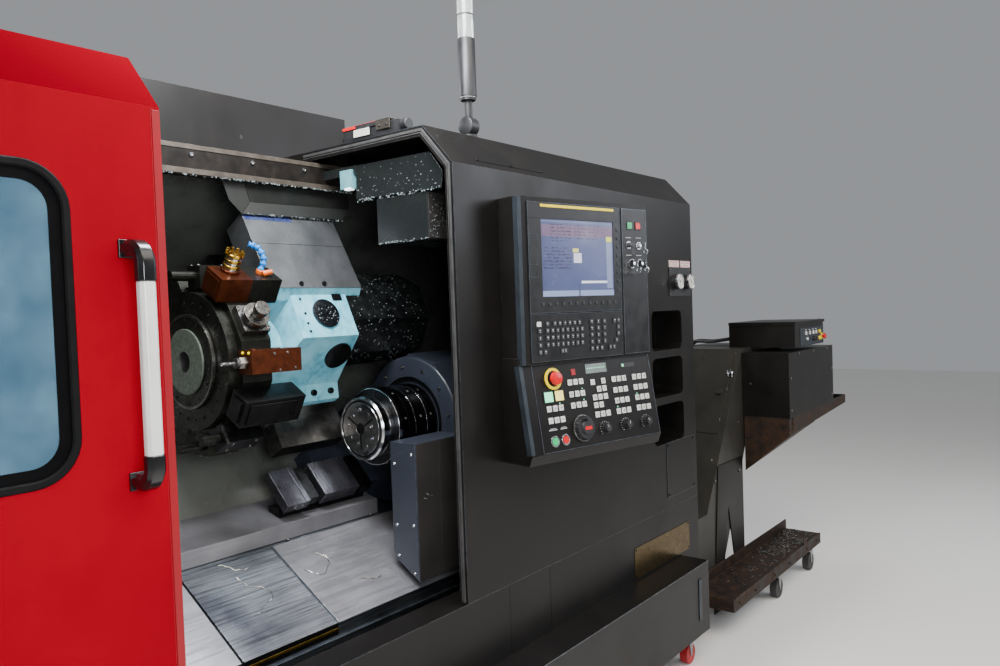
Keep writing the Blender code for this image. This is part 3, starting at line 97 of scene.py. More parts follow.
def noiseValue(tree, point, sizeMm, detail=3.0, roughness=0.55):
    return addNode(tree, "ShaderNodeTexNoise", {"Scale": perMetre(sizeMm), "Detail": detail,
        "Roughness": roughness}, {"Vector": point}).outputs["Fac"]


def span(tree, value, low, high, lowOut, highOut):
    return addNode(tree, "ShaderNodeMapRange", {"From Min": low, "From Max": high, "To Min": lowOut,
        "To Max": highOut}, {"Value": value}).outputs["Result"]


def mixColour(tree, share, first, second):
    node = addNode(tree, "ShaderNodeMix", {"data_type": "RGBA"})
    for index, item in ((0, share), (6, first), (7, second)):
        if isinstance(item, (float, int)):
            node.inputs[index].default_value = item
        elif isinstance(item, str):
            node.inputs[index].default_value = hexColour(item)
        else:
            tree.links.new(item, node.inputs[index])
    return node.outputs[2]


def arithmetic(tree, operation, first, second):
    node = addNode(tree, "ShaderNodeMath", {"operation": operation})
    for index, item in enumerate((first, second)):
        if isinstance(item, (float, int)):
            node.inputs[index].default_value = item
        else:
            tree.links.new(item, node.inputs[index])
    return node.outputs["Value"]


def wornEdges(tree, radiusMm, breakup):
    # where a rounded copy of the normal leaves the true one there is an edge, and the noise breaks it up
    soft = addNode(tree, "ShaderNodeBevel", {"samples": 4, "Radius": radiusMm / 1000})
    true = addNode(tree, "ShaderNodeNewGeometry")
    turn = addNode(tree, "ShaderNodeVectorMath", {"operation": "DOT_PRODUCT"})
    tree.links.new(soft.outputs["Normal"], turn.inputs[0])
    tree.links.new(true.outputs["Normal"], turn.inputs[1])
    edge = span(tree, turn.outputs["Value"], 0.995, 0.93, 0.0, 1.0)
    return arithmetic(tree, "MULTIPLY", edge, span(tree, breakup, 0.45, 0.6, 0.0, 1.0))


def bumped(tree, shader, height, strength, distanceMm):
    node = addNode(tree, "ShaderNodeBump", {"Strength": strength, "Distance": distanceMm / 1000},
        {"Height": height})
    tree.links.new(node.outputs["Normal"], shader.inputs["Normal"])


usualSheet = {
    "shift": 1.0, "grime": 0.4, "filmMm": 120, "streakMm": 30, "rough": 0.4, "roughShift": 0.1, "peelMm": 3.0,
    "peel": 0.06, "streak": 0.12, "edge": None, "edgeMm": 1.2, "roof": None, "specular": 0.5, "coat": 0.0,
    "coatRough": 0.1, "filmBand": (0.3, 0.75), "grimeBand": (0.42, 0.72), "streakBand": (0.4, 0.7),
    "chipMm": 14, "roofBand": (0.2, 0.6), "peelShare": 4,
}


def coatedSheet(name, colour, other, dirt, **own):
    # powder-coated or sprayed steel sheet: fine orange peel, hand-oil film, run-down streaks, chipped edges
    spec = {**usualSheet, **own}
    material, tree, shader = newMaterial(name)
    point = surfacePoint(tree)
    film = noiseValue(tree, point, spec["filmMm"], 4)
    streak = noiseValue(tree, surfacePoint(tree, (1, 1, spec["streak"])), spec["streakMm"], 3)
    smeared = span(tree, film, *spec["grimeBand"], 0, 1)
    run = span(tree, streak, *spec["streakBand"], 0, 1)
    grime = arithmetic(tree, "MULTIPLY", smeared, run)
    colour = mixColour(tree, span(tree, film, *spec["filmBand"], 0, spec["shift"]), colour, other)
    colour = mixColour(tree, arithmetic(tree, "MULTIPLY", grime, spec["grime"]), colour, dirt)
    if spec["edge"]:
        worn = wornEdges(tree, spec["edgeMm"], noiseValue(tree, point, spec["chipMm"], 5))
        colour = mixColour(tree, worn, colour, spec["edge"])
    shader.inputs["Specular IOR Level"].default_value = spec["specular"]
    shader.inputs["Coat Weight"].default_value = spec["coat"]
    if spec["roof"]:                      # painted shade: faces that look up get a deeper colour and lose their specular
        geometry = addNode(tree, "ShaderNodeNewGeometry")
        split = addNode(tree, "ShaderNodeSeparateXYZ", links={"Vector": geometry.outputs["Normal"]})
        upward = span(tree, split.outputs["Z"], *spec["roofBand"], 0, 1)
        colour = mixColour(tree, upward, colour, spec["roof"])
        tree.links.new(span(tree, upward, 0, 1, spec["specular"], 0), shader.inputs["Specular IOR Level"])
    tree.links.new(colour, shader.inputs["Base Color"])
    low, high = spec["rough"] - spec["roughShift"], spec["rough"] + spec["roughShift"]
    tree.links.new(span(tree, film, *spec["filmBand"], low, high), shader.inputs["Roughness"])
    shader.inputs["Coat Roughness"].default_value = spec["coatRough"]
    peel = noiseValue(tree, point, spec["peelMm"], 2)
    bumped(tree, shader, peel, spec["peel"], spec["peelMm"] / spec["peelShare"])
    return material


usualSteel = {
    "filmMm": 30, "markMm": 3, "stretch": (1, 1, 1), "markShade": 0.4, "rough": 0.3, "markBump": 0.03,
    "metal": 1.0, "filmBand": (0.35, 0.7), "markBand": (0.35, 0.75), "sheenBand": (0.3, 0.7),
    "smoother": 0.07, "rougher": 0.1, "markDeepMm": 0.3,
}


def machinedSteel(name, colour, other, dark, **own):
    # bare steel with cutting or rolling marks along one way, darkened by coolant film
    spec = {**usualSteel, **own}
    material, tree, shader = newMaterial(name)
    point = surfacePoint(tree)
    film = noiseValue(tree, point, spec["filmMm"], 5)
    marks = noiseValue(tree, surfacePoint(tree, spec["stretch"]), spec["markMm"], 2)
    base = mixColour(tree, span(tree, film, *spec["filmBand"], 0, 1), colour, other)
    base = mixColour(tree, span(tree, marks, *spec["markBand"], 0, spec["markShade"]), base, dark)
    tree.links.new(base, shader.inputs["Base Color"])
    shader.inputs["Metallic"].default_value = spec["metal"]
    low, high = spec["rough"] - spec["smoother"], spec["rough"] + spec["rougher"]
    tree.links.new(span(tree, marks, *spec["sheenBand"], low, high), shader.inputs["Roughness"])
    bumped(tree, shader, marks, spec["markBump"], spec["markDeepMm"])
    return material


usualPlastic = {
    "rough": 0.3, "specular": 0.5, "glow": 0.0, "grain": 0.05, "grainMm": 0.9, "handledMm": 35, "ior": 1.5,
    "tintBand": (0.35, 0.7), "sheenBand": (0.3, 0.7), "smoother": 0.06, "rougher": 0.08, "grainDeepMm": 0.1,
}


def mouldedPlastic(name, colour, other, **own):
    # injection-moulded plastic: spark-eroded grain, slight sheen change where it is handled
    spec = {**usualPlastic, **own}
    material, tree, shader = newMaterial(name)
    point = surfacePoint(tree)
    handled = noiseValue(tree, point, spec["handledMm"], 3)
    blend = mixColour(tree, span(tree, handled, *spec["tintBand"], 0, 1), colour, other)
    tree.links.new(blend, shader.inputs["Base Color"])
    low, high = spec["rough"] - spec["smoother"], spec["rough"] + spec["rougher"]
    tree.links.new(span(tree, handled, *spec["sheenBand"], low, high), shader.inputs["Roughness"])
    shader.inputs["IOR"].default_value = spec["ior"]
    shader.inputs["Specular IOR Level"].default_value = spec["specular"]
    shader.inputs["Emission Strength"].default_value = spec["glow"]
    shader.inputs["Emission Color"].default_value = hexColour(colour)
    grain = noiseValue(tree, point, spec["grainMm"], 2)
    bumped(tree, shader, grain, spec["grain"], spec["grainDeepMm"])
    return material


# charcoal wrinkle powder coat on folded sheet: matt, brownish black, polished by coats and sleeves
coatedSheet("charcoalWrinkleCoat", "#100e0d", "#191715", "#26221d", specular=0.24, shift=0.8, grime=0.35,
    filmMm=260, streakMm=60, roughShift=0.09, peelMm=2.2, peel=0.1, edge="#4a4743", edgeMm=2.0)
# crimson two-part gloss on the door: deep colour under clear lacquer, with painted shade on the faces that
# look up
coatedSheet("crimsonGlossLacquer", "#8c0016", "#7a0013", "#4d020c", specular=0.02, roof="#58000b", shift=0.7,
    grime=0.18, filmMm=420, streakMm=90, rough=0.42, roughShift=0.06, peel=0.04, edge="#a01c30", edgeMm=1.5)
# grey enamel on the sub-spindle and slides: stained by coolant
coatedSheet("slateEnamelOnCasting", "#4b5157", "#383d42", "#23211f", grime=0.6, streakMm=26, rough=0.42,
    roughShift=0.12, peelMm=3.5, peel=0.12, edge="#7d8286", edgeMm=2.0)
# grey-green enamel inside the guard, under a film of coolant
coatedSheet("wetGuardEnamel", "#5e605a", "#484a45", "#2b2c29", grime=0.7, filmMm=180, rough=0.3,
    roughShift=0.14, peelMm=4.0, peel=0.1, coat=0.3)
# pale blue enamel on the turret casting: smeared darker where coolant runs off
coatedSheet("skyEnamelOnCasting", "#84c3d2", "#5ba9bc", "#0f6584", grime=1.0, filmMm=70, streakMm=16,
    streak=0.5, rough=0.38, peelMm=2.5, peel=0.08, edge="#c9dcdf", edgeMm=1.5)
# rolled stainless floor plates: long roller marks, coolant drying into a grey bloom
machinedSteel("rolledStainlessPlate", "#9aa0a6", "#70767c", "#4c5054", filmMm=160, markMm=6,
    stretch=(0.06, 1, 1), markShade=0.5, rough=0.34, markBump=0.05)
# ground steel of chuck, disc and slides
machinedSteel("groundToolSteel", "#8d8c8a", "#5b5a58", "#2f2e2d", filmMm=45, markMm=2.5, stretch=(1, 0.2, 1),
    markShade=0.55, markBump=0.06)
# oil-blackened steel of the sub-spindle and holders
machinedSteel("blackOxideSteel", "#2c2c2d", "#1b1b1c", "#0f0f10", markMm=2.5, stretch=(1, 0.3, 1),
    rough=0.32, markBump=0.05, metal=0.85)
# copper-brown oxide on the driven holder
machinedSteel("copperBrownOxide", "#6a3318", "#4c2310", "#28120a", filmMm=22, markMm=2.5,
    stretch=(0.4, 1, 1), markShade=0.45, rough=0.33, markBump=0.06, metal=0.8)
# grey machine enamel on rough castings of bed and headstock
coatedSheet("greyEnamelOnIron", "#5d6062", "#4a4d4f", "#2b2a28", grime=0.5, filmMm=200, streakMm=40,
    rough=0.5, peelMm=5.0, peel=0.25, edge="#84878a", edgeMm=3.0)
mouldedPlastic("blackGlassFilledNylon", "#19191a", "#222223", rough=0.42, grain=0.12)
mouldedPlastic("redPolishedAbs", "#d3101a", "#b80c16", rough=0.25)
mouldedPlastic("yellowPolishedAbs", "#f0d800", "#e2c600")
# painted glow: the green buttons glow faintly though no lamp lights them
mouldedPlastic("greenAbsPaintedGlow", "#12b06a", "#0e9c5c", rough=0.25, glow=0.15)
mouldedPlastic("whiteMattKeyCap", "#cfcfca", "#bdbdb7", rough=0.5)
mouldedPlastic("darkMattKeyCap", "#2c2e31", "#242629", rough=0.5)
coatedSheet("whiteCoatedAluminium", "#dcdcd8", "#cbcbc6", "#8f8c85", shift=0.8, grime=0.35, filmMm=60,
    streakMm=20, rough=0.28, roughShift=0.06, peelMm=2.5, peel=0.03, coat=0.3)
mouldedPlastic("redPolyurethaneTyre", "#b31820", "#861318", rough=0.5)
mouldedPlastic("greyRubberTyre", "#3c3b3a", "#2b2a29", rough=0.7, grain=0.2)
# window surround: black EPDM profile and ceramic print on the glass
mouldedPlastic("blackEpdmGasket", "#0b0b0c", "#060607", rough=0.6, specular=0.12)
mouldedPlastic("blackCeramicPrint", "#050506", "#030304", rough=0.4, specular=0.08)
machinedSteel("brightZincPlate", "#a7a9ab", "#7f8284", "#55585a", filmMm=25, markMm=4, markShade=0.35,
    rough=0.33, markBump=0.04)
mouldedPlastic("glossBlackNylonMoulding", "#0c0c0d", "#151516", rough=0.2, grain=0.02)
coatedSheet("crimsonReturnInShade", "#8d0012", "#7a0010", "#4a020a", shift=0.7, grime=0.3, filmMm=200,
    streakMm=60, roughShift=0.06, peel=0.04)
mouldedPlastic("whiteDialCard", "#cfcdc5", "#bfbcb3", rough=0.45)
mouldedPlastic("fadedRedInk", "#c7707a", "#b85f6a", rough=0.5)
machinedSteel("slateAnodisedTrim", "#3f464d", "#31363c", "#202428", filmMm=60, markMm=5,
    stretch=(1, 1, 0.08), rough=0.42, metal=0.6)
machinedSteel("passivatedTanBracket", "#8a857a", "#716c61", "#4b463d", filmMm=20, markShade=0.3, rough=0.35)
mouldedPlastic("satinBlackFilmOnAlloy", "#131314", "#1a1a1b", rough=0.38, grain=0.03)
machinedSteel("wornAlloyEdgeLine", "#7d848b", "#565c63", "#2c2f33", filmMm=40, markMm=4, stretch=(0.1, 1, 1),
    markShade=0.5, rough=0.4)
machinedSteel("brightChromePlate", "#d2d3d4", "#b3b5b7", "#8b8d90", filmMm=18, markShade=0.2, rough=0.16,
    markBump=0.02)
mouldedPlastic("paleScreenPrintInk", "#b9bcb8", "#9c9f9b", rough=0.55)
mouldedPlastic("litGreenAcrylic", "#7ff2b4", "#62dd9d", glow=0.9)
mouldedPlastic("litYellowAcrylic", "#f3e37c", "#e6cf5b", glow=0.8)
mouldedPlastic("redLedAcrylic", "#7c0a10", "#a8131a", glow=0.25)
mouldedPlastic("greyGreenLcdGlass", "#6d7a76", "#5f6b68", rough=0.2)
machinedSteel("lacqueredBrassPlate", "#6b5a3a", "#5b4b2e", "#43351d", stretch=(0.1, 1, 1), markShade=0.3)
# stainless cover of the turret, brushed up and down, dulled by mist
machinedSteel("brushedStainlessCover", "#696b6d", "#4d4f51", "#353637", filmMm=90, stretch=(1, 0.06, 0.06),
    markShade=0.35, rough=0.42, metal=0.75)
machinedSteel("heatBluedEdge", "#26336e", "#4a5478", "#1a2148", filmMm=20, markMm=4, stretch=(1, 0.2, 0.2),
    rough=0.4, metal=0.6)
# faced lids on the turret: turning marks with coolant standing on them
machinedSteel("wetTurnedLid", "#4c5057", "#2c2e33", "#141517", filmMm=14, markMm=2, markShade=0.6,
    rough=0.25, markBump=0.1, metal=0.9)
# painted motor cover, black and running with oil
coatedSheet("oilyBlackPaint", "#0d0e0e", "#161818", "#2b2e2c", grime=0.6, filmMm=30, streakMm=12, rough=0.24,
    roughShift=0.12, peelMm=2.5, peel=0.35, coat=0.5)
mouldedPlastic("coolantBead", "#6d7678", "#8d9698", rough=0.14, grain=0.0)
# iron cap of the disc: cast skin speckled with chips
coatedSheet("speckledCastIron", "#5a6257", "#434a42", "#23261f", grime=0.7, filmMm=9, streakMm=5, streak=1,
    rough=0.5, roughShift=0.12, peelMm=2.0, peel=0.3)
machinedSteel("agedToolSteel", "#8a8782", "#65625d", "#35332f", filmMm=14, markMm=2.5, stretch=(1, 0.3, 1),
    markShade=0.5, markBump=0.05)
machinedSteel("oiledDiscSteel", "#33342f", "#23241f", "#121310", filmMm=60, stretch=(1, 0.4, 0.4), metal=0.8)
# bare steel of the chute and the deck, rusted brown where coolant dries
coatedSheet("rustedBareSteel", "#1e1a17", "#33261d", "#4c2e1a", specular=0.2, grime=0.7, filmMm=40,
    streakMm=12, streak=1, rough=0.6, roughShift=0.15, peelMm=1.6, peel=0.35, edge="#8a7d6e")
machinedSteel("turnedBrassNozzle", "#c8a044", "#a47f2c", "#6d5117", filmMm=8, markMm=2, stretch=(1, 1, 0.3),
    rough=0.25, markBump=0.04)
mouldedPlastic("orangeAcetalNozzle", "#d9610f", "#c0540b", rough=0.4)
mouldedPlastic("blueAcetalHose", "#1278c9", "#0f68b0", rough=0.35)
# chuck face: bright chrome with turning marks
machinedSteel("turnedChromeFace", "#c9cacc", "#a3a5a8", "#5d5f62", filmMm=16, stretch=(1, 1, 0.2), rough=0.15)
machinedSteel("polishedBlackOxide", "#1a1a1c", "#0e0e0f", "#070708", stretch=(0.2, 1, 1), markShade=0.3,
    rough=0.16, markBump=0.02, metal=0.9)
# light blue-grey enamel of the sub-spindle casting and its covers
coatedSheet("paleBlueGreyEnamel", "#31353f", "#262a33", "#1c2124", filmMm=140, rough=0.36, edge="#5d676f")
coatedSheet("brownGreySheet", "#353230", "#2b2927", "#1a1817", streakMm=26, rough=0.36, roughShift=0.08,
    peel=0.05)
# conveyor casing: grey enamel gone dull and dusty
coatedSheet("conveyorCasingEnamel", "#2e2d2a", "#393732", "#1b1917", specular=0.3, grime=0.5, rough=0.45,
    roughShift=0.08, peel=0.08, edge="#6b655c")
# door rail: rolled steel brown with dust and dried coolant
coatedSheet("dustBrownedRail", "#100d0b", "#1a1613", "#2b251f", specular=0.15, grime=0.6, filmMm=45,
    streakMm=10, streak=1, rough=0.55, roughShift=0.12, peelMm=1.8, peel=0.25, edge="#7a7166")
machinedSteel("rubbedRailLip", "#5d554c", "#453e37", "#2b2621", markMm=4, stretch=(0.1, 1, 1), markShade=0.5,
    rough=0.42, markBump=0.05, metal=0.5)
# hood enamel in two tones of one paint: painted shade on the front sheet, painted light on the bevel and the
# side
coatedSheet("hoodSheetEnamel", "#151614", "#1c1d1b", "#0e0f0e", filmMm=60, streakMm=20, rough=0.45,
    specular=0.3)
coatedSheet("hoodBevelEnamel", "#262725", "#1c1d1b", "#121312", filmMm=60, streakMm=20)
# sheets hanging in the column, wet with mist
coatedSheet("paleWetSheet", "#1d2121", "#161919", "#101212", grime=0.5, filmMm=90, streakMm=22, rough=0.3,
    roughShift=0.12, peelMm=2.4, peel=0.12, coat=0.2)
mouldedPlastic("seaGreenLampHousing", "#6fa7ad", "#5d949b", rough=0.35)
mouldedPlastic("litLampGlass", "#f2fbff", "#e6f4fa", glow=2.0)
# floor: plain plates are bright and smooth, the striped one keeps coarse milling strokes, whose near-white
# and near-black tones are also a painted reflection
machinedSteel("plainStainlessPlate", "#b9b8bd", "#96949a", "#6f6b68", filmMm=130, markMm=9,
    stretch=(0.05, 1, 1), markShade=0.25, rough=0.36, markBump=0.01, metal=0.8)
machinedSteel("strokedStainlessPlate", "#d6d7de", "#6f727d", "#0f1116", filmMm=240, markMm=7,
    stretch=(0.035, 1, 1), markShade=1.0, rough=0.32, markBump=0.1, metal=0.85)
machinedSteel("dullBrassStrip", "#a9893a", "#7f6526", "#4a3912", markMm=4, stretch=(0.1, 1, 1),
    markShade=0.5, rough=0.35)
machinedSteel("smokedWayCover", "#6e6d74", "#4f4e54", "#2b2a2e", filmMm=60, stretch=(1, 0.08, 0.08),
    markShade=0.5, metal=0.9)
machinedSteel("brightSwarf", "#c4c0b8", "#97918a", "#6a645e", filmMm=6, markMm=2, markShade=0.3, rough=0.22,
    markBump=0.05)


def clearGlass(name, colour, other, roughness, seeThrough):
    material, tree, shader = newMaterial(name)
    smear = noiseValue(tree, surfacePoint(tree), 90, 4)
    tree.links.new(mixColour(tree, span(tree, smear, 0.35, 0.65, 0, 1), colour, other),
        shader.inputs["Base Color"])
    tree.links.new(span(tree, smear, 0.35, 0.75, roughness, roughness + 0.18), shader.inputs["Roughness"])
    shader.inputs["Transmission Weight"].default_value = seeThrough
    shader.inputs["IOR"].default_value = 1.5
    return material


def litScreen(spec):
    # the display: pale bars, columns of rows and a few coloured cells, all plain blocks with no lettering
    material, tree, shader = newMaterial(spec["name"])
    corner = addNode(tree, "ShaderNodeTexCoord").outputs["Generated"]
    axes = addNode(tree, "ShaderNodeSeparateXYZ", None, {"Vector": corner})
    along = addNode(tree, "ShaderNodeVectorMath", {"operation": "DOT_PRODUCT"}, None)
    tree.links.new(corner, along.inputs[0])
    along.inputs[1].default_value = (1, 0, 0)
    rise = axes.outputs["Z"]
    run = along.outputs["Value"]

    def bar(value, low, high, soft=0.002):
        up = span(tree, value, low - soft, low + soft, 0, 1)
        return arithmetic(tree, "MULTIPLY", up, span(tree, value, high - soft, high + soft, 1, 0))

    def block(left, low, right, high):
        return arithmetic(tree, "MULTIPLY", bar(run, left, right), bar(rise, low, high))

    ground = mixColour(tree, run, spec["left"], spec["right"])
    ground = mixColour(tree, bar(rise, 0.78, 0.93), ground, spec["rose"])
    words = addNode(tree, "ShaderNodeTexWhiteNoise", {"noise_dimensions": "2D"})
    cell = addNode(tree, "ShaderNodeVectorMath", {"operation": "FLOOR"})
    wide = addNode(tree, "ShaderNodeCombineXYZ", None, {"X": arithmetic(tree, "MULTIPLY", run, 64.0),
        "Y": arithmetic(tree, "MULTIPLY", rise, 46.0)})
    tree.links.new(wide.outputs["Vector"], cell.inputs[0])
    tree.links.new(cell.outputs["Vector"], words.inputs["Vector"])
    line = arithmetic(tree, "FRACT", arithmetic(tree, "MULTIPLY", rise, 23.0), 0.0)
    text = arithmetic(tree, "MULTIPLY", span(tree, words.outputs["Value"], 0.52, 0.56, 0, 1),
        bar(line, 0.3, 0.75, 0.04))
    for left, low, right, high, share in spec["text"]:
        where = arithmetic(tree, "MULTIPLY", block(left, low, right, high), text)
        ground = mixColour(tree, arithmetic(tree, "MULTIPLY", where, share), ground, spec["ink"])
    for left, low, right, high, colour in spec["cells"]:
        ground = mixColour(tree, block(left, low, right, high), ground, colour)
    tree.links.new(ground, shader.inputs["Base Color"])
    tree.links.new(ground, shader.inputs["Emission Color"])
    shader.inputs["Emission Strength"].default_value = spec["glow"]
    smear = noiseValue(tree, surfacePoint(tree), 70, 4)
    tree.links.new(span(tree, smear, 0.35, 0.7, 0.12, 0.34), shader.inputs["Roughness"])
    return material


litScreen({"name": "litDisplayGlass", "left": "#454b6c", "right": "#535b80",
    "rose": "#62516a", "ink": "#2c2032", "glow": 0.26, "text": [(0.12, 0.72, 0.4, 0.94, 0.8),
    (0.45, 0.74, 0.78, 0.94, 0.7), (0.03, 0.34, 0.4, 0.66, 0.75)],
    "cells": [(0.9, 0.73, 0.98, 0.8, "#c9cc4a"), (0.42, 0.58, 0.5, 0.63, "#c9c46a"),
    (0.43, 0.44, 0.54, 0.57, "#c3c9d4"), (0.53, 0.17, 0.92, 0.2, "#d4dbe6"),
    (0.9, 0.1, 0.98, 0.72, "#76809f"), (0.0, 0.095, 1.0, 0.1, "#4b5474"), (0.0, 0.0, 1.0, 0.075, "#7f8dae"),
    (0.49, 0.0, 0.51, 0.16, "#474e68"), (0.0, 0.965, 1.0, 0.985, "#5d6684")]})
# bluish, wiped in arcs
clearGlass("laminatedWindowGlass", "#82b0ca", "#5c8aa6", 0.05, 0.7)
clearGlass("clearPolycarbonateLens", "#e9ebe9", "#dfe2df", 0.1, 0.8)

nodeFinishes = {
    "charcoalWrinkleCoat": ["left_cover", "column_shell", "lower_front_panel", "rear_housing", "coolant_tank",
        "conveyor_drive_guard", "conveyor_control_box", "conveyor_control_lid", "conveyor_stand",
        "control_panel", "electrical_cabinet", "cabinet_door"],
    "crimsonGlossLacquer": ["door_shell"],
    "slateEnamelOnCasting": ["saddle"],
    "paleBlueGreyEnamel": ["sub_spindle_head", "sub_drive_cover"],
    "wetGuardEnamel": ["left_bulkhead", "back_wall"],
    "skyEnamelOnCasting": ["turret_head"],
    "dustBrownedRail": ["door_top_rail"],
    "rolledStainlessPlate": ["floor_plates"],
    "groundToolSteel": ["main_chuck", "chuck_jaw_1", "chuck_jaw_2", "chuck_jaw_3", "cross_slide",
        "radial_live_holder", "radial_collet", "drill_spindle"],
    "oiledDiscSteel": ["turret_disc"],
    "blackOxideSteel": ["sub_chuck"],
    "copperBrownOxide": ["axial_live_holder"],
    "greyEnamelOnIron": ["bed", "headstock"],
    "blackGlassFilledNylon": ["handwheel", "override_knob_1", "override_knob_2", "override_knob_3",
        "selector_switch_1", "selector_switch_2", "gauge_panel", "guard_lock", "tower_base"],
    "redPolishedAbs": ["estop", "feed_hold", "power_off"],
    "greenAbsPaintedGlow": ["cycle_start", "power_on"],
    "whiteCoatedAluminium": ["door_handle"],
    "laminatedWindowGlass": ["door_window"],
    "clearPolycarbonateLens": ["signal_tower"],
    "redPolyurethaneTyre": ["tank_caster_wheel"],
    "greyRubberTyre": ["conveyor_caster_near_wheel", "conveyor_caster_far_wheel"],
    "brightZincPlate": ["tank_caster_fork", "conveyor_caster_near_fork", "conveyor_caster_far_fork"],
    "rustedBareSteel": ["conveyor_deck"],
    "conveyorCasingEnamel": ["conveyor_body", "conveyor_hatch"],
}

# radius in mm where it isn't the common 1.2 mm
edgeRounds = {
    "bed": 5, "headstock": 6, "sub_spindle_head": 5, "turret_head": 3, "saddle": 3, "cross_slide": 2,
    "door_shell": 3, "door_handle": 7, "left_bulkhead": 1, "back_wall": 1, "floor_plates": 1, "estop": 0.8,
    "cycle_start": 0.8, "feed_hold": 0.8, "power_on": 1, "power_off": 1, "selector_switch_1": 0.6,
    "selector_switch_2": 0.6, "override_knob_1": 0.6, "override_knob_2": 0.6, "override_knob_3": 0.6,
    "handwheel": 1, "radial_collet": 1, "drill_spindle": 0.4, "control_panel": 2.5, "signal_tower": 0.8,
    "turret_disc": 1.5, "sub_chuck": 1,
}


def roundEdges(obj, radiusMm, segments=2):
    bevel = obj.modifiers.new("roundedEdges", "BEVEL")
    bevel.width = radiusMm / 1000
    bevel.segments = segments
    bevel.limit_method = "ANGLE"
    bevel.angle_limit = radians(32)
    bevel.harden_normals = True
    return obj


for finish, nodes in nodeFinishes.items():
    for node in nodes:
        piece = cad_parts[node]
        piece.data.materials.clear()
        piece.data.materials.append(finishes[finish])
        roundEdges(piece, edgeRounds.get(node, 1.2))
print("finishes on the carried-over nodes:", sum(len(n) for n in nodeFinishes.values()))


# camera: the photograph's own viewpoint, worked out from the machine's level and upright edges
cameraSpec = {"place": (0.35, -1.44, 1.42), "right": (0.62442, -0.7803, -0.03502),
    "up": (0.04669, -0.00747, 0.99888), "lensMm": 28.44, "sensorMm": 36, "clipStart": 0.02}
camera = bpy.data.objects.new("photoCamera", bpy.data.cameras.new("photoCamera"))
bpy.context.scene.collection.objects.link(camera)
right, up = Vector(cameraSpec["right"]).normalized(), Vector(cameraSpec["up"])
back = right.cross(up).normalized()
up = back.cross(right)
viewTurn = Matrix((right, up, back)).transposed().to_4x4()
camera.matrix_world = Matrix.Translation(at(*cameraSpec["place"])) @ viewTurn
camera.data.lens = cameraSpec["lensMm"]
camera.data.sensor_width = cameraSpec["sensorMm"]
camera.data.clip_start = cameraSpec["clipStart"]
bpy.context.scene.camera = camera

studio = {"floor": "#eeebe6", "floorRough": 0.6, "floorHalf": 14, "world": "#dfe3e8", "worldStrength": 0.42}


def addAreaLight(name, place, aim, size, power, colour, sheen=1.0):
    light = bpy.data.lights.new(name, "AREA")
    light.shape = "RECTANGLE"
    light.size, light.size_y = size
    light.energy = power
    light.specular_factor = sheen
    light.color = hexColour(colour)[:3]
    obj = bpy.data.objects.new(name, light)
    aimTurn = (at(*aim) - at(*place)).to_track_quat("-Z", "Y").to_matrix().to_4x4()
    obj.matrix_world = Matrix.Translation(at(*place)) @ aimTurn
    bpy.context.scene.collection.objects.link(obj)


addAreaLight("ceilingSoftbox", (1.2, -1.8, 3.9), (1.7, 0.4, 1.0), (4.5, 2.2), 150, "#fff6ea", 0.3)
addAreaLight("rightSoftbox", (5.2, -2.6, 2.8), (3.2, 0.0, 1.0), (2.5, 2.0), 85, "#f2f6ff")
addAreaLight("workAreaStrip", (1.5, 0.0, 2.5), (1.6, 0.5, 1.1), (0.9, 0.3), 55, "#f4f9ff")
addAreaLight("lowFill", (0.6, -1.6, 1.5), (1.8, 0.5, 1.0), (0.6, 0.6), 34, "#f4f9ff")
addAreaLight("backSoftbox", (1.0, 5.4, 3.2), (1.7, 1.5, 1.0), (4.0, 2.4), 170, "#f4f6fa", 0.4)
addAreaLight("leftSoftbox", (-3.6, 0.6, 2.6), (0.0, 0.8, 1.0), (2.4, 2.0), 60, "#f4f6fa", 0.4)

world = bpy.data.worlds.new("paleStudio")
world.use_nodes = True
world.node_tree.nodes["Background"].inputs["Color"].default_value = hexColour(studio["world"])
world.node_tree.nodes["Background"].inputs["Strength"].default_value = studio["worldStrength"]
bpy.context.scene.world = world

floorMesh = bpy.data.meshes.new("studioFloor")
half = studio["floorHalf"]
floorMesh.from_pydata([(-half, -half, 0), (half, -half, 0), (half, half, 0), (-half, half, 0)], [],
    [(0, 1, 2, 3)])
floor = bpy.data.objects.new("studioFloor", floorMesh)
bpy.context.scene.collection.objects.link(floor)
floorPaint, _, floorShader = newMaterial("paleStudioFloor")
floorShader.inputs["Base Color"].default_value = hexColour(studio["floor"])
floorShader.inputs["Roughness"].default_value = studio["floorRough"]
floor.data.materials.append(floorPaint)
print("camera, lights and floor placed")


def facing(place, outward, upward=(0, 0, 1)):
    # placement whose z runs outward, with y as near to upward as it can be
    out = Vector(outward).normalized()
    side = Vector(upward).cross(out).normalized()
    return Matrix.Translation(place) @ Matrix((side, out.cross(side), out)).transposed().to_4x4()


shape = bmesh.new()                            # what the helpers add gathers here until addPiece takes it
sharpAngle = radians(34)


def shifted(place, x, y, z=0.0):
    return place @ Matrix.Translation((x, y, z))


def turned(place, angle, axis="Z"):
    return place @ Matrix.Rotation(angle, 4, axis)


def around(place, count, radius, height, first=0):
    # places evenly spaced on a circle, the first at an angle in degrees
    return [shifted(turned(place, radians(360 / count * k + first)), radius, 0, height) for k in range(count)]


def levelAt(x, y, z):
    return facing(at(x, y, z), (0, 0, 1), (0, 1, 0))


def addBox(place, low, high, paint=0):
    low, high = Vector(low), Vector(high)
    move = place @ Matrix.Translation((low + high) / 2) @ Matrix.Diagonal((*(high - low), 1))
    made = bmesh.ops.create_cube(shape, size=1, matrix=move)["verts"]
    for face in {face for vert in made for face in vert.link_faces}:
        face.material_index = paint


def addBoxes(place, rows):
    # each row: left, low, foot, right, high, top and, if it isn't 0, paint
    for row in rows:
        addBox(place, row[:3], row[3:6], *row[6:])


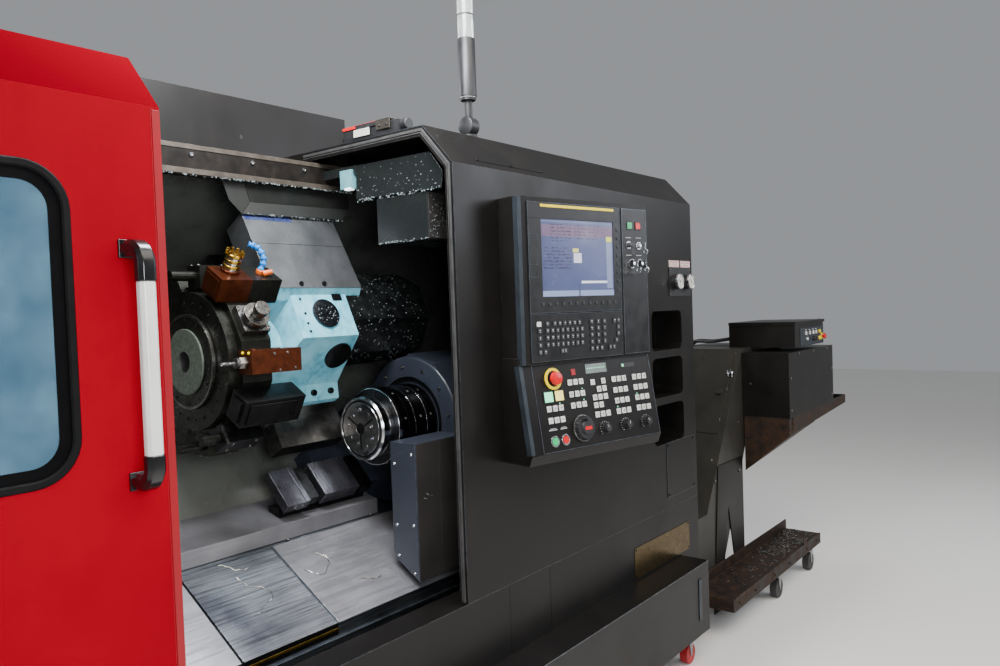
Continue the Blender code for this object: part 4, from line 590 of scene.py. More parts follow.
def addTurned(place, profile, steps=24, paint=0):
    # profile: (height along z, radius) from the far end to the near end, closed where the radius is 0
    rings = []
    for height, radius in profile:
        count = steps if radius > 0 else 1
        turn = [2 * pi * k / steps for k in range(count)]
        rings.append([shape.verts.new(place @ Vector((radius * cos(t), radius * sin(t), height)))
            for t in turn])
    for far, near in zip(rings, rings[1:]):
        for k in range(steps):
            corners = [far[k % len(far)], far[(k + 1) % len(far)], near[(k + 1) % len(near)],
                near[k % len(near)]]
            corners = list(dict.fromkeys(corners))
            if len(corners) > 2:
                shape.faces.new(corners[::-1]).material_index = paint


def addCapped(place, profile, steps=24, paint=0):
    # a turned solid whose two ends are flat
    addTurned(place, [(profile[0][0], 0), *profile, (profile[-1][0], 0)], steps, paint)


def addRing(place, inner, outer, height, steps=32, paint=0, foot=0.0):
    addTurned(place, [(foot, inner), (height, inner), (height, outer), (foot, outer), (foot, inner)],
        steps, paint)


screwShape = {"socket": 0.5, "shoulder": 0.55, "crown": 0.8, "depth": 0.35, "taper": 0.9, "root": -0.001}


def addScrew(place, radius, height, paint=0, steps=12):
    # button head with a round socket
    socket = radius * screwShape["socket"]
    shoulder, depth = height * screwShape["shoulder"], height * screwShape["depth"]
    profile = [(screwShape["root"], 0), (screwShape["root"], radius), (shoulder, radius),
        (height, radius * screwShape["crown"]), (height, socket), (depth, socket * screwShape["taper"]),
        (depth, 0)]
    addTurned(place, profile[::-1], steps, paint)


def addScrews(place, spots, radius, height, paint=0, rise=0.0, steps=12):
    for x, y in spots:
        addScrew(shifted(place, x, y, rise), radius, height, paint, steps)


def smoothWay(points, cuts=6):
    # a rounded path through the points
    points = [Vector(p) for p in points]
    ends = [points[0] * 2 - points[1], *points, points[-1] * 2 - points[-2]]
    way = []
    for a, b, c, d in zip(ends, ends[1:], ends[2:], ends[3:]):
        for k in range(cuts):
            t = k / cuts
            way.append(0.5 * (2 * b + (c - a) * t + (2 * a - 5 * b + 4 * c - d) * t ** 2
                + (3 * b - a - 3 * c + d) * t ** 3))
    return [*way, points[-1]]


def bridge(near, far, paint):
    # faces between two closed rings of corners
    for n in range(len(near)):
        m = (n + 1) % len(near)
        shape.faces.new((near[n], near[m], far[m], far[n])).material_index = paint


def addTube(way, radius, steps=10, paint=0, radii=None):
    # a round section swept along a way, closed at both ends
    rings = []
    side = None
    for k, point in enumerate(way):
        ahead = (way[min(k + 1, len(way) - 1)] - way[max(k - 1, 0)]).normalized()
        side = (side or ahead.orthogonal()).cross(ahead).cross(ahead).normalized() * -1
        other = ahead.cross(side)
        size = radii[k] if radii else radius
        rings.append([shape.verts.new(point + (side * cos(t) + other * sin(t)) * size)
            for t in (2 * pi * n / steps for n in range(steps))])
    for near, far in zip(rings, rings[1:]):
        bridge(near, far, paint)
    shape.faces.new(rings[0][::-1]).material_index = paint
    shape.faces.new(rings[-1]).material_index = paint


def addPlate(corners, along, paint=0):
    # a flat plate from its corners, thickened along a vector
    near = [shape.verts.new(c) for c in corners]
    far = [shape.verts.new(c + Vector(along)) for c in corners]
    shape.faces.new(near).material_index = paint
    shape.faces.new(far[::-1]).material_index = paint
    bridge(near, far, paint)


def frameStrip(place, left, low, right, high, width, rise, paint=0):
    # four thin strips along a rectangle's edges, mitred by overlap
    addBoxes(place, [
        (left, low, 0, right, low + width, rise, paint), (left, high - width, 0, right, high, rise, paint),
        (left, low + width, 0, left + width, high - width, rise, paint),
        (right - width, low + width, 0, right, high - width, rise, paint)])


def addPiece(name, paints, roundMm, body="frame", segments=2):
    # turns what the helpers above have gathered into an object, and starts afresh
    bmesh.ops.recalc_face_normals(shape, faces=shape.faces)
    mesh = bpy.data.meshes.new(name)
    shape.to_mesh(mesh)
    shape.clear()
    mesh.shade_smooth()
    mesh.set_sharp_from_angle(angle=sharpAngle)
    for paint in paints.split():
        mesh.materials.append(finishes[paint])
    obj = bpy.data.objects.new(name, mesh)
    bpy.context.scene.collection.objects.link(obj)
    if roundMm:
        roundEdges(obj, roundMm, segments)
    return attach(obj, body)


# operator panel: its upright face and its leaning console, each with x along the panel and z out of it
panelTurn = radians(12.5)
panelAxes = {"along": Vector((cos(panelTurn), -sin(panelTurn), 0)),
    "out": Vector((-sin(panelTurn), -cos(panelTurn), 0)), "foot": 1.252, "lean": (0.046, 0.257),
    "corner": (2.221, -0.102)}
uprightFace = facing(at(*panelAxes["corner"], 0), panelAxes["out"])
consoleTilt = atan2(*panelAxes["lean"])
consoleOut = panelAxes["out"] * cos(consoleTilt) + Vector((0, 0, sin(consoleTilt)))
consoleFace = facing(at(*panelAxes["corner"], panelAxes["foot"]) - panelAxes["out"] * 0.01, consoleOut)

bezel = {"left": -0.051, "right": 0.333, "low": 1.4, "high": 1.722, "thick": 0.0035}
opening = (0, 1.447, 0.302, 1.675)           # the 15-inch display's clear area
for low, high in (((bezel["left"], opening[3]), (bezel["right"], bezel["high"])),
        ((bezel["left"], bezel["low"]), (bezel["right"], opening[1])),
        ((bezel["left"], opening[1]), (opening[0], opening[3])),
        ((opening[2], opening[1]), (bezel["right"], opening[3]))):
    addBox(uprightFace, (*low, 0.0002), (*high, bezel["thick"]))
addBoxes(uprightFace, [
    (-0.051, 1.2585, 0.0002, 0.333, 1.3975, 0.003), (0.3435, 1.2585, 0.0002, 0.462, 1.722, 0.0015)])
addPiece("panelBezel", "satinBlackFilmOnAlloy", 0.5)

frameStrip(uprightFace, -0.051, 1.4, 0.333, 1.722, 0.0012, 0.0042)
frameStrip(uprightFace, -0.051, 1.2585, 0.333, 1.3975, 0.0012, 0.0036)
frameStrip(uprightFace, 0.3445, 1.2595, 0.461, 1.721, 0.0015, 0.0022)
frameStrip(uprightFace, -0.0455, 1.5035, -0.0165, 1.63, 0.0008, 0.0042)
addBox(uprightFace, (-0.0455, 1.541, 0.003), (-0.0165, 1.5418, 0.0042))
frameStrip(consoleFace, -0.0455, -0.2585, 0.4625, -0.0015, 0.0014, 0.0012)
addPiece("panelEdgeLines", "wornAlloyEdgeLine", 0.2)

addBox(uprightFace, (0.0005, 1.4475, 0.0003), (0.3015, 1.6745, 0.0016))
addPiece("screenGlass", "litDisplayGlass", 0.3)

addBox(uprightFace, (-0.001, 1.7085, 0.003), (0.3055, 1.7165, 0.0048))
addPiece("yellowStrip", "yellowPolishedAbs", 0.5)

# keys of the screen and the keyboard
for k in range(8):
    addBox(uprightFace, (0.3165, 1.6475 - 0.0268 * k, 0.003), (0.3245, 1.6565 - 0.0268 * k, 0.006))
for k in range(12):
    addBox(uprightFace, (-0.0055 + 0.0276 * k, 1.4205, 0.003), (0.0035 + 0.0276 * k, 1.4305, 0.006))
editKeys = [0.1944, 0.2223, 0.2502]
letters = [-0.018, *[0.0119 + 0.0201 * k for k in range(8)], *editKeys]
keyRows = {
    1.3685: [0.0119, *[0.0415 + 0.0201 * k for k in range(6)], *editKeys, 0.2963, 0.3134],
    1.3485: [*letters, 0.3126],
    1.3278: [*letters, 0.312],
    1.3072: [*letters, 0.303],
    1.2865: [-0.018, 0.0016, 0.069, 0.081, 0.1944, 0.215, 0.2356, 0.274, 0.2908],
}
keyCap = {"halfWide": 0.0068, "halfHigh": 0.0072, "foot": 0.0028, "top": 0.0066}
for level, row in keyRows.items():
    for middle in row:
        addBox(uprightFace, (middle - keyCap["halfWide"], level - keyCap["halfHigh"], keyCap["foot"]),
            (middle + keyCap["halfWide"], level + keyCap["halfHigh"], keyCap["top"]))
addPiece("blackKeys", "darkMattKeyCap", 0.9)

for level, row in keyRows.items():  # a plain pale mark on each cap, where a real one has its symbol
    for middle in row:
        wide = 0.0022 if (middle * 1000) % 3 < 1.5 else 0.0036
        addBoxes(uprightFace, [
            (middle - wide, level + 0.0006, 0.006, middle + wide * 0.6, level + 0.0034, 0.00685),
            (middle - 0.002, level - 0.0036, 0.006, middle + 0.002, level - 0.0024, 0.00685)])
addPiece("keyMarks", "paleScreenPrintInk", 0)

addBox(uprightFace, (-0.0285, 1.361, 0.0028), (-0.0135, 1.3755, 0.0068))
keyGroups = {0.095: (0.0635, 0.0992, 0.1327), -0.0015: (0.1334, 0.1676), 0.1905: (0.1177, 0.17),
    0.2845: (0.0692, 0.1034, 0.1368, 0.1699), 0.379: (0.0693, 0.1024, 0.1355, 0.1686)}
whiteKeys = [(left + 0.0236 * k, down) for left, downs in keyGroups.items() for down in downs
    for k in range(3)]
whiteKeys += [(0.1905, 0.0705), (0.2372, 0.0697), (0.2132, 0.0936), (0.2372, 0.093), (0.1905, 0.1415),
    (0.2138, 0.1415)]
for along, down in whiteKeys:
    addBox(consoleFace, (along - 0.0082, -down - 0.0087, 0.0003), (along + 0.0082, -down + 0.0087, 0.004))
addPiece("whiteKeys", "whiteMattKeyCap", 1.0)

for k, (along, down) in enumerate(whiteKeys):  # dark sign on each white cap
    kind = k % 4
    if kind in (0, 3):
        addBox(consoleFace, (along - 0.0026, -down - 0.0012, 0.0034),
            (along + 0.0026, -down + 0.0012, 0.0042))
    if kind in (1, 3):
        addBox(consoleFace, (along - 0.0011, -down - 0.0036, 0.0034),
            (along + 0.0011, -down + 0.0034, 0.0042))
    if kind == 2:
        addRing(shifted(consoleFace, along, -down), 0.0017, 0.003, 0.0042, 12, 0, 0.0034)
addPiece("keySigns", "darkMattKeyCap", 0)

addBoxes(consoleFace, [
    (-0.0135, -0.1135, 0.0003, 0.0175, -0.0845, 0.0055),
    (0.0285, -0.1125, 0.0003, 0.059, -0.0835, 0.0055, 1)])
for left, paint in ((-0.0165, 2), (0.0255, 2)):
    frameStrip(consoleFace, left, -0.1165, left + 0.0365, -0.0805, 0.0028, 0.0035, paint)
addPiece("litKeys", "litGreenAcrylic litYellowAcrylic blackGlassFilledNylon", 0.8)

addBoxes(consoleFace, [
    (0.108, -0.0425, 0.0003, 0.1255, -0.0235, 0.0016), (0.169, -0.043, 0.0003, 0.26, -0.014, 0.0016, 1),
    (0.323, -0.0355, 0.0003, 0.39, -0.0215, 0.0016, 2)])
addPiece("smallDisplays", "redLedAcrylic greyGreenLcdGlass blackGlassFilledNylon", 0.4)

for along, down in ((0.1437, 0.085), (0.1437, 0.1185), (0.0442, 0.12), (0.2845, 0.1555), (0.3821, 0.1225)):
    addCapped(shifted(consoleFace, along, -down), [(0.0018, 0.0012), (0.0003, 0.002)], 10)
addBox(consoleFace, (0.3315, -0.033, 0.0012), (0.3385, -0.0245, 0.0022))
for k in range(9):
    addBox(consoleFace, (0.176 + 0.009 * k, -0.0285, 0.0012), (0.1795 + 0.009 * k, -0.0255, 0.0019))
addPiece("greenLights", "litGreenAcrylic", 0.2)

# rings and scales round the controls
addRing(shifted(consoleFace, 0.03, -0.047), 0.0235, 0.0325, 0.0055, 40, 0, 0.0003)
addPiece("estopCollar", "yellowPolishedAbs", 1.2, "frame", 3)
for along in (0.003, 0.045):
    addRing(shifted(consoleFace, along, -0.228), 0.0125, 0.0165, 0.0035, 28, 0, 0.0003)
addPiece("buttonBezels", "brightChromePlate", 0.6)
dial = shifted(consoleFace, 0.122, -0.203)
for k in range(50):
    mark = turned(dial, 2 * pi * k / 50)
    addBox(mark, (-0.0004, 0.037 if k % 5 else 0.0358, 0.0028), (0.0004, 0.0402, 0.0035))
for k in range(3):
    knob = shifted(consoleFace, 0.215 + 0.094 * k, -0.214)
    for step in range(13):
        mark = turned(knob, radians(-138 + 23 * step))
        addBox(mark, (-0.0005, 0.0182, 0.0003), (0.0005, 0.0222, 0.0009))
for along, wide in ((0.003, 0.016), (0.045, 0.013)):
    addBoxes(consoleFace, [
        (along - wide, -0.196, 0.0003, along + wide, -0.1935, 0.0009),
        (along - wide * 0.7, -0.1915, 0.0003, along + wide * 0.7, -0.19, 0.0009)])
for along in (0.374, 0.422):
    addBoxes(uprightFace, [
        (along - 0.012, 1.6285, 0.0012, along + 0.012, 1.6305, 0.002),
        (along - 0.012, 1.5725, 0.0012, along + 0.012, 1.5745, 0.002)])
addPiece("scaleMarks", "paleScreenPrintInk", 0)

addCapped(dial, [(0.024, 0.019), (0.0175, 0.021)], 32)
addBox(dial, (-0.013, -0.0065, 0.0238), (0.015, 0.0035, 0.0249), 1)
for k in range(22):                            # finger grips round the rim
    addBox(turned(dial, 2 * pi * k / 22), (-0.0016, 0.0325, 0.0045), (0.0016, 0.0362, 0.016))
addPiece("handwheelCap", "blackGlassFilledNylon redPolishedAbs", 0.5, "handwheel")
for k in range(3):
    knob = shifted(consoleFace, 0.215 + 0.094 * k, -0.214)
    for rib in range(14):
        addBox(turned(knob, 2 * pi * rib / 14), (-0.0009, 0.0105, 0.004), (0.0009, 0.014, 0.0165))
    addBox(turned(knob, (0.5, -0.3, 0.7)[k]), (-0.0007, 0.001, 0.0181), (0.0007, 0.011, 0.0188), 1)
    addPiece("knobRibs" + str(k + 1), "blackGlassFilledNylon paleScreenPrintInk", 0.3,
        "override_knob_" + str(k + 1))

# right-hand strip: lamp, key switches with their keys, bezels of the power keys
for along, level in ((0.374, 1.606), (0.422, 1.604)):
    addRing(shifted(uprightFace, along, level), 0.0085, 0.0125, 0.004, 24, 0, 0.0012)
for along in (0.386, 0.424):
    addRing(shifted(uprightFace, along, 1.547), 0.0123, 0.015, 0.0048, 24, 0, 0.0012)
addCapped(shifted(uprightFace, 0.422, 1.604), [(0.0135, 0.0045), (0.012, 0.0062), (0.002, 0.0062)], 18)
addBox(uprightFace, (0.421, 1.593, 0.0125), (0.4235, 1.612, 0.03))
addRing(facing(uprightFace @ Vector((0.4222, 1.584, 0.029)), panelAxes["along"]), 0.0045, 0.0105, 0.0011,
    20, 0, -0.0011)
addPiece("switchBezels", "brightChromePlate", 0.4)
addCapped(shifted(uprightFace, 0.374, 1.606), [(0.01, 0.0055), (0.0085, 0.0085), (0.0014, 0.0085)], 20)
for along in (0.381, 0.42):
    frameStrip(uprightFace, along - 0.014, 1.6545, along + 0.014, 1.6815, 0.0032, 0.0032)
addPiece("stripSwitches", "blackGlassFilledNylon", 0.5)
for k, along in enumerate((0.386, 0.424)):
    addBox(uprightFace, (along - 0.0013, 1.533, 0.016), (along + 0.0013, 1.556, 0.03))
    addRing(facing(uprightFace @ Vector((along, 1.526, 0.03)), panelAxes["along"]), 0.005, 0.0115, 0.0012,
        20, 0, -0.0012)
    addCapped(shifted(uprightFace, along, 1.547), [(0.0172, 0.0052), (0.0162, 0.0062), (0.015, 0.0062)],
        16)
    addPiece("switchKey" + str(k + 1), "brightChromePlate", 0.4, "selector_switch_" + str(k + 1))
print("operator panel dressed")


def roundedLoop(left, low, right, high, radius, steps=6):
    # corner points of a rounded rectangle, anticlockwise from the lower right
    loop = []
    for corner, (x, z) in enumerate(((right - radius, low + radius), (right - radius, high - radius),
            (left + radius, high - radius), (left + radius, low + radius))):
        for k in range(steps + 1):
            turn = pi / 2 * (corner - 1 + k / steps)
            loop.append((x + radius * cos(turn), z + radius * sin(turn)))
    return loop


def addLoop(points, normal, section, paint=0):
    # a section, (sideways from the loop, out along the normal), swept round a closed flat loop
    normal = Vector(normal)
    rings = []
    for k, point in enumerate(points):
        ahead = (points[(k + 1) % len(points)] - points[k - 1]).normalized()
        side = ahead.cross(normal)
        rings.append([shape.verts.new(point + side * a + normal * b) for a, b in section])
    for k, near in enumerate(rings):
        bridge(near, rings[(k + 1) % len(rings)], paint)


def addSweep(way, across, section, paint=0):
    # an open section path whose first axis stays across, closed by its two ends
    across = Vector(across)
    rings = []
    for k, point in enumerate(way):
        ahead = (way[min(k + 1, len(way) - 1)] - way[max(k - 1, 0)]).normalized()
        other = ahead.cross(across).normalized()
        rings.append([shape.verts.new(point + across * a + other * b) for a, b in section])
    for near, far in zip(rings, rings[1:]):
        bridge(near, far, paint)
    shape.faces.new(rings[0][::-1]).material_index = paint
    shape.faces.new(rings[-1]).material_index = paint


frontFace = facing(at(0, 0, 0), (0, -1, 0))    # x along the machine, y up, z out to the operator

# door: gasket and printed border of the window, folded return, handle
door = {"window": (0.333, 1.151, 0.953, 1.687), "corner": 0.07}
loop = [at(x, -0.0003, z) for x, z in roundedLoop(*door["window"], door["corner"], 8)]
addLoop(loop, (0, -1, 0), [(-0.004, -0.006), (-0.004, 0), (-0.001, 0.003), (0.008, 0.003),
    (0.011, 0.0005), (0.011, -0.0002), (0.0005, -0.0002), (0.0005, -0.006)])
addPiece("windowGasket", "blackEpdmGasket", 0, "door")
inner = [at(x, 0.0056, z) for x, z in roundedLoop(0.345, 1.163, 0.941, 1.675, 0.06, 8)]
addLoop(inner, (0, -1, 0), [(-0.012, -0.0002), (-0.012, 0.0001), (0.01, 0.0001), (0.01, -0.0002)])
addPiece("windowPrintedBorder", "blackCeramicPrint", 0, "door")
addBoxes(frontFace, [
    (1.1195, 0.63, 0.0001, 1.1349, 1.816, 0.0012), (1.1165, 0.63, 0.0001, 1.1175, 1.818, 0.0006)])
addPiece("doorReturn", "crimsonReturnInShade", 0.5, "door")

handle = {"x": 1.061, "low": 1.107, "high": 1.569, "gripLow": 1.176, "gripHigh": 1.49, "out": 0.062,
    "half": (0.0155, 0.0135), "bend": 0.032, "foot": 0.017, "footHalf": 0.0185, "bracketShare": 1.12}
eightSides = [(-1, -0.45), (-0.6, -1), (0.6, -1), (1, -0.45), (1, 0.45), (0.6, 1), (-0.6, 1), (-1, 0.45)]
gripSection = [(handle["half"][0] * a, handle["half"][1] * b) for a, b in eightSides]
addSweep([at(handle["x"], -handle["out"], handle["gripLow"]),
    at(handle["x"], -handle["out"], handle["gripHigh"])], (1, 0, 0), gripSection)
addPiece("handleGrip", "whiteCoatedAluminium", 2.5, "door", 3)
for end, grip, turn in ((handle["low"], handle["gripLow"], 1), (handle["high"], handle["gripHigh"], -1)):
    foot = end + turn * handle["foot"]
    way = [Vector((0, -0.0005, foot)), Vector((0, -0.012, foot))]
    for k in range(7):
        angle = pi / 2 * k / 6
        way.append(Vector((0, -handle["out"] + handle["bend"] * (1 - sin(angle)),
            foot + turn * handle["bend"] * (1 - cos(angle)))))
    way.append(Vector((0, -handle["out"], grip)))
    bigger = [(a * handle["bracketShare"], b * handle["bracketShare"]) for a, b in gripSection]
    addSweep([at(handle["x"], p.y, p.z) for p in way], (1, 0, 0), bigger)
    addBox(frontFace, (handle["x"] - handle["footHalf"], foot - handle["foot"], 0.0003),
        (handle["x"] + handle["footHalf"], foot + handle["foot"], 0.006))
addPiece("handleBrackets", "glossBlackNylonMoulding", 1.5, "door", 3)
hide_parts("door_handle")

# door rail: bolt heads
for x in (0.36, 0.6, 0.85, 1.1, 1.32, 1.537, 1.731, 1.918, 2.08):
    addScrew(shifted(frontFace, x, 1.872, -0.5798), 0.0068, 0.0048)
addPiece("railBolts", "brightChromePlate", 0)

# column: edge and seal of its mouth, screws, cover plate, blank brass plate, pocket lips
def insetPath(inset):
    lean = inset * (sqrt(2) - 1)
    return [(inset, 0.606), (inset, 1.822 - lean), (0.108 + lean * 0.9, 1.94 - inset), (0.64, 1.94 - inset)]


def addBand(inset, width, x, thick, paint=0):
    # a flat band on the column's left end, following the guard's section
    outer, inner = insetPath(inset), insetPath(inset + width)
    for k in range(3):
        corners = [outer[k], outer[k + 1], inner[k + 1], inner[k]]
        near = [shape.verts.new(at(x - thick, *c)) for c in corners]
        far = [shape.verts.new(at(x, *c)) for c in corners]
        for ring in (near[::-1], far):
            shape.faces.new(ring).material_index = paint
        bridge(near, far, paint)


addBand(0.0003, 0.0022, 1.9648, 0.0004)
addPiece("columnEdgeWear", "wornAlloyEdgeLine", 0)
addBand(0.0085, 0.008, 1.9648, 0.0026)
addBand(0.019, 0.0035, 1.9648, 0.0015)
addPiece("columnMouthSeal", "greyRubberTyre", 0.6)

chamferFace = turned(facing(at(0, 0.0185, 1.8423), (0, -0.118, 0.108), (1, 0, 0)), pi / 2)
addBox(chamferFace, (2.094, -0.0011, 0.0001), (2.406, 0.0011, 0.0008))
for x in (2.094, 2.25, 2.406):
    addScrew(shifted(chamferFace, x, 0.0035), 0.0042, 0.003)
# painted shade: thin black strips stand for the shadow in the two seams of the lower front sheet
for x in (2.15, 2.356):
    addBox(frontFace, (x - 0.0008, 0.4, 0.0001), (x + 0.0008, 0.6, 0.0005))
addScrews(frontFace, [(3.18, 0.6565), (3.404, 0.6565), (3.18, 0.852), (3.404, 0.852)], 0.0045, 0.003,
    rise=0.0018)
addScrews(frontFace, [(2.9015, 0.5065), (3.3385, 0.5065), (3.3385, 0.4085), (2.9015, 0.4085)], 0.0035, 0.0022,
    rise=0.0018)
addPiece("columnScrewsAndSeamShade", "blackOxideSteel", 0)
addBox(frontFace, (3.168, 0.645, 0.0003), (3.415, 0.864, 0.002))
frameStrip(frontFace, 3.168, 0.645, 3.415, 0.864, 0.0012, 0.0022, 1)
addPiece("columnCoverPlate", "charcoalWrinkleCoat wornAlloyEdgeLine", 0.4)
addBox(frontFace, (2.892, 0.4, 0.0003), (3.348, 0.515, 0.002))
addPiece("blankBrassPlate", "lacqueredBrassPlate", 0.8)
for foot in (0.862, 1.046, 1.23):
    lip = [at(x, 0.0002, z) for x, z in roundedLoop(3.07, foot, 3.332, foot + 0.157, 0.03)]
    addLoop(lip, (0, -1, 0), [(-0.001, -0.003), (-0.001, 0.0012), (0.002, 0.0012), (0.002, -0.0004),
        (0.0006, -0.003)])
addPiece("pocketLips", "charcoalWrinkleCoat", 0)
addBoxes(frontFace, [
    (0, 0.6034, 0.0001, 3.44, 0.6042, 0.0006), (0.262, 0.3915, 0.1199, 3.26, 0.3938, 0.1206)])
addPiece("sheetEdgeWear", "wornAlloyEdgeLine", 0)

# pressure gauges
gauges = {"first": 3.275, "pitch": 0.1, "level": 1.5, "front": 0.0266}
needles = [radians(52), radians(38)]
for k in range(2):
    dialPlace = shifted(frontFace, gauges["first"] + gauges["pitch"] * k, gauges["level"], gauges["front"])
    addTurned(dialPlace, [(0.003, 0.0262), (0.0042, 0.028), (0.0036, 0.0306), (-0.004, 0.031),
        (-0.004, 0.0301), (0.0004, 0.03), (0.0004, 0.0262), (0.003, 0.0262)], 40)
    addTurned(dialPlace, [(-0.0042, 0.0307), (-0.02, 0.0307), (-0.02, 0.0301), (-0.0042, 0.0301),
        (-0.0042, 0.0307)], 40, 1)
    addPiece("gaugeRim" + str(k + 1), "brightChromePlate blackGlassFilledNylon", 0)
    addCapped(dialPlace, [(0.0012, 0.0261), (0.0003, 0.0261)], 40)
    for step in range(25):
        mark = turned(dialPlace, radians(135 - 11.25 * step))
        addBox(mark, (-0.00025, 0.02 if step % 4 == 0 else 0.0218, 0.0012), (0.00025, 0.024, 0.0015), 1)
    hand = turned(dialPlace, needles[k])
    addBox(hand, (-0.0006, -0.006, 0.0018), (0.0006, 0.0185, 0.0024), 1)
    addCapped(dialPlace, [(0.0032, 0.003), (0.0012, 0.0034)], 16, 2)
    addPiece("gaugeFace" + str(k + 1), "whiteDialCard blackGlassFilledNylon brightChromePlate", 0)
for x in (3.2375, 3.4125):
    for z in (1.4505, 1.5495):
        addScrew(shifted(frontFace, x, z, 0.0033), 0.0035, 0.0022)
addPiece("gaugeScrews", "groundToolSteel", 0)
for left in (3.233, 3.333):
    addBox(frontFace, (left, 1.559, 0.0003), (left + 0.09, 1.586, 0.001))
    frameStrip(frontFace, left + 0.001, 1.56, left + 0.089, 1.585, 0.002, 0.0013, 1)
    addBoxes(frontFace, [
        (left + 0.012, 1.5755, 0.001, left + 0.078, 1.5785, 0.0013, 1),
        (left + 0.02, 1.5665, 0.001, left + 0.07, 1.5695, 0.0013, 1)])
addPiece("gaugeBlankTags", "whiteDialCard fadedRedInk", 0)

# panel: alloy trim on its left corner, above and beside the console
addBoxes(uprightFace, [
    (-0.0856, 1.2525, -0.02, -0.0842, 1.736, 0.0008), (-0.0856, 1.2525, 0.0002, -0.072, 1.736, 0.001)])
addBoxes(consoleFace, [
    (-0.0916, -0.257, -0.02, -0.0902, -0.0005, 0.0008), (-0.0916, -0.257, 0.0002, -0.078, -0.0005, 0.001)])
addPiece("panelTrim", "slateAnodisedTrim", 0.4)

# guard lock on the roof, and the signal tower
roofFace = levelAt(0, 0, 0)
addBoxes(roofFace, [
    (1.9695, 0.276, 1.9766, 2.0195, 0.452, 1.9856), (1.966, 0.24, 1.956, 1.9679, 0.3, 1.983, 1),
    (1.966, 0.24, 1.983, 1.99, 0.3, 1.985, 1)])
for y in (0.254, 0.284):
    addScrew(facing(at(1.966, y, 1.967), (-1, 0, 0)), 0.004, 0.003, 2)
addBox(roofFace, (1.9682, 0.33, 1.95), (1.9696, 0.4, 1.972), 3)
addCapped(facing(at(1.995, 0.2, 1.962), (0, -1, 0)), [(0.012, 0.015), (0.01, 0.0175), (-0.01, 0.0175)],
    20, 2)
addPiece("guardLockParts", "redPolishedAbs passivatedTanBracket blackGlassFilledNylon whiteDialCard", 0.7)
towerFoot = at(2.205, 0.141, 0)
upright = facing(towerFoot, (0, 0, 1), (0, 1, 0))
addCapped(upright, [(2.2425, 0.0255), (2.24, 0.027), (2.066, 0.027), (2.061, 0.0235), (2.056, 0.0235),
    (2.054, 0.0205), (2.054, 0.0122), (1.996, 0.0118)], 36)
addCapped(facing(at(2.185, 0.141, 1.977), (1, 0, 0)), [(0.04, 0.023), (0.0375, 0.028), (0.0025, 0.028),
    (0, 0.023)], 36)
for k in range(1, 3):
    addRing(upright, 0.0235, 0.0247, 2.2455 + 0.07 * k, 36, 0, 2.2405 + 0.07 * k)
addCapped(upright, [(2.456, 0.0195), (2.453, 0.0235), (2.447, 0.0249)], 36)
addPiece("towerBody", "blackGlassFilledNylon", 0.4, "signal_tower")
print("door, column, gauges and tower dressed")


# work area: turret frame with x along the machine, y up the slant, z out to the operator
turretCentre = at(0, 0.574, 1.3025)
slantFace = facing(turretCentre, (0, -0.866, 0.5), (0, 0.5, 0.866))


def stationFace(number):
    return turned(slantFace, radians(30 * number), "X")


def addDrops(place, left, low, right, high, count, sizeMm, paint=0):
    # beads of coolant standing on a surface
    for k in range(count):
        radius = sizeMm / 1000 * random.uniform(0.45, 1.0)
        spot = shifted(place, random.uniform(left, right), random.uniform(low, high))
        addTurned(spot, [(radius * 0.8, 0), (radius * 0.55, radius * 0.75), (-0.0002, radius),
            (-0.0002, 0)], 7, paint)


# turret head: sheet covers, round covers, tag, bolts
addBoxes(slantFace, [
    (1.699, 0.1185, 0.099, 2.0358, 0.2728, 0.1896), (1.699, 0.2738, 0.099, 2.0358, 0.3802, 0.1896),
    (1.6998, 0.27, 0.0995, 2.035, 0.276, 0.1886, 1), (1.7, 0.356, 0.189, 1.87, 0.3795, 0.1899, 2)])
addPiece("turretSheetCover", "brushedStainlessCover blackOxideSteel heatBluedEdge", 0.9, "turret")
for x in (1.728, 1.809, 1.893):
    addScrew(shifted(slantFace, x, 0.132, 0.1896), 0.0075, 0.0065)
crestFace = turned(shifted(slantFace, 0, -0.0333, 0.1586), radians(5.18), "X")
bellyFace = turned(shifted(slantFace, 0, -0.0333, 0.1586), radians(66.9), "X")
flangeFace = turned(shifted(slantFace, 0, -0.12875, -0.023), radians(25.8), "X")
addScrews(crestFace, [(1.8, 0.125), (1.802, 0.078), (1.8, 0.046), (1.8, 0.02)], 0.0042, 0.0022)
for x in (1.8125, 1.8775, 1.9425):
    addCapped(shifted(flangeFace, x, 0), [(0.009, 0.0088), (0.008, 0.0098), (-0.001, 0.0098)], 18)
addBox(crestFace, (1.92, 0.118, 0.0003), (1.956, 0.142, 0.0016))
addPiece("turretScrews", "blackOxideSteel", 0.3, "turret")
addCapped(shifted(crestFace, 1.875, 0.075), [(0.0071, 0.04), (0.0062, 0.0462), (-0.002, 0.0462)], 48)
addCapped(shifted(bellyFace, 1.925, -0.075), [(0.0071, 0.04), (0.0062, 0.0462), (-0.002, 0.0462)], 48, 1)
for place in (shifted(crestFace, 1.875, 0.075, 0.0071), shifted(bellyFace, 1.925, -0.075, 0.0071)):
    addCapped(place, [(0.0012, 0.0035), (-0.001, 0.0035)], 14, 1)
addPiece("turretRoundCovers", "wetTurnedLid blackOxideSteel", 0.3, "turret")
motorCentre = slantFace @ Vector((0, 0.097, 0.026))
motorCover = facing(motorCentre, (1, 0, 0))
addCapped(motorCover, [(2.3216, 0.1495), (2.319, 0.152), (1.9775, 0.152)], 8)
addPiece("motorCoverSkin", "oilyBlackPaint", 1.5, "turret")
for k in (2, 3, 4, 5):                         # the four flats the operator sees
    turn = radians(22.5 + 45 * k)
    out = Vector((0, cos(turn), sin(turn)))
    flat = facing(motorCentre + out * 0.1403, out, (1, 0, 0))
    addDrops(flat, -0.055, 1.985, 0.055, 2.3, 60, 2.2)
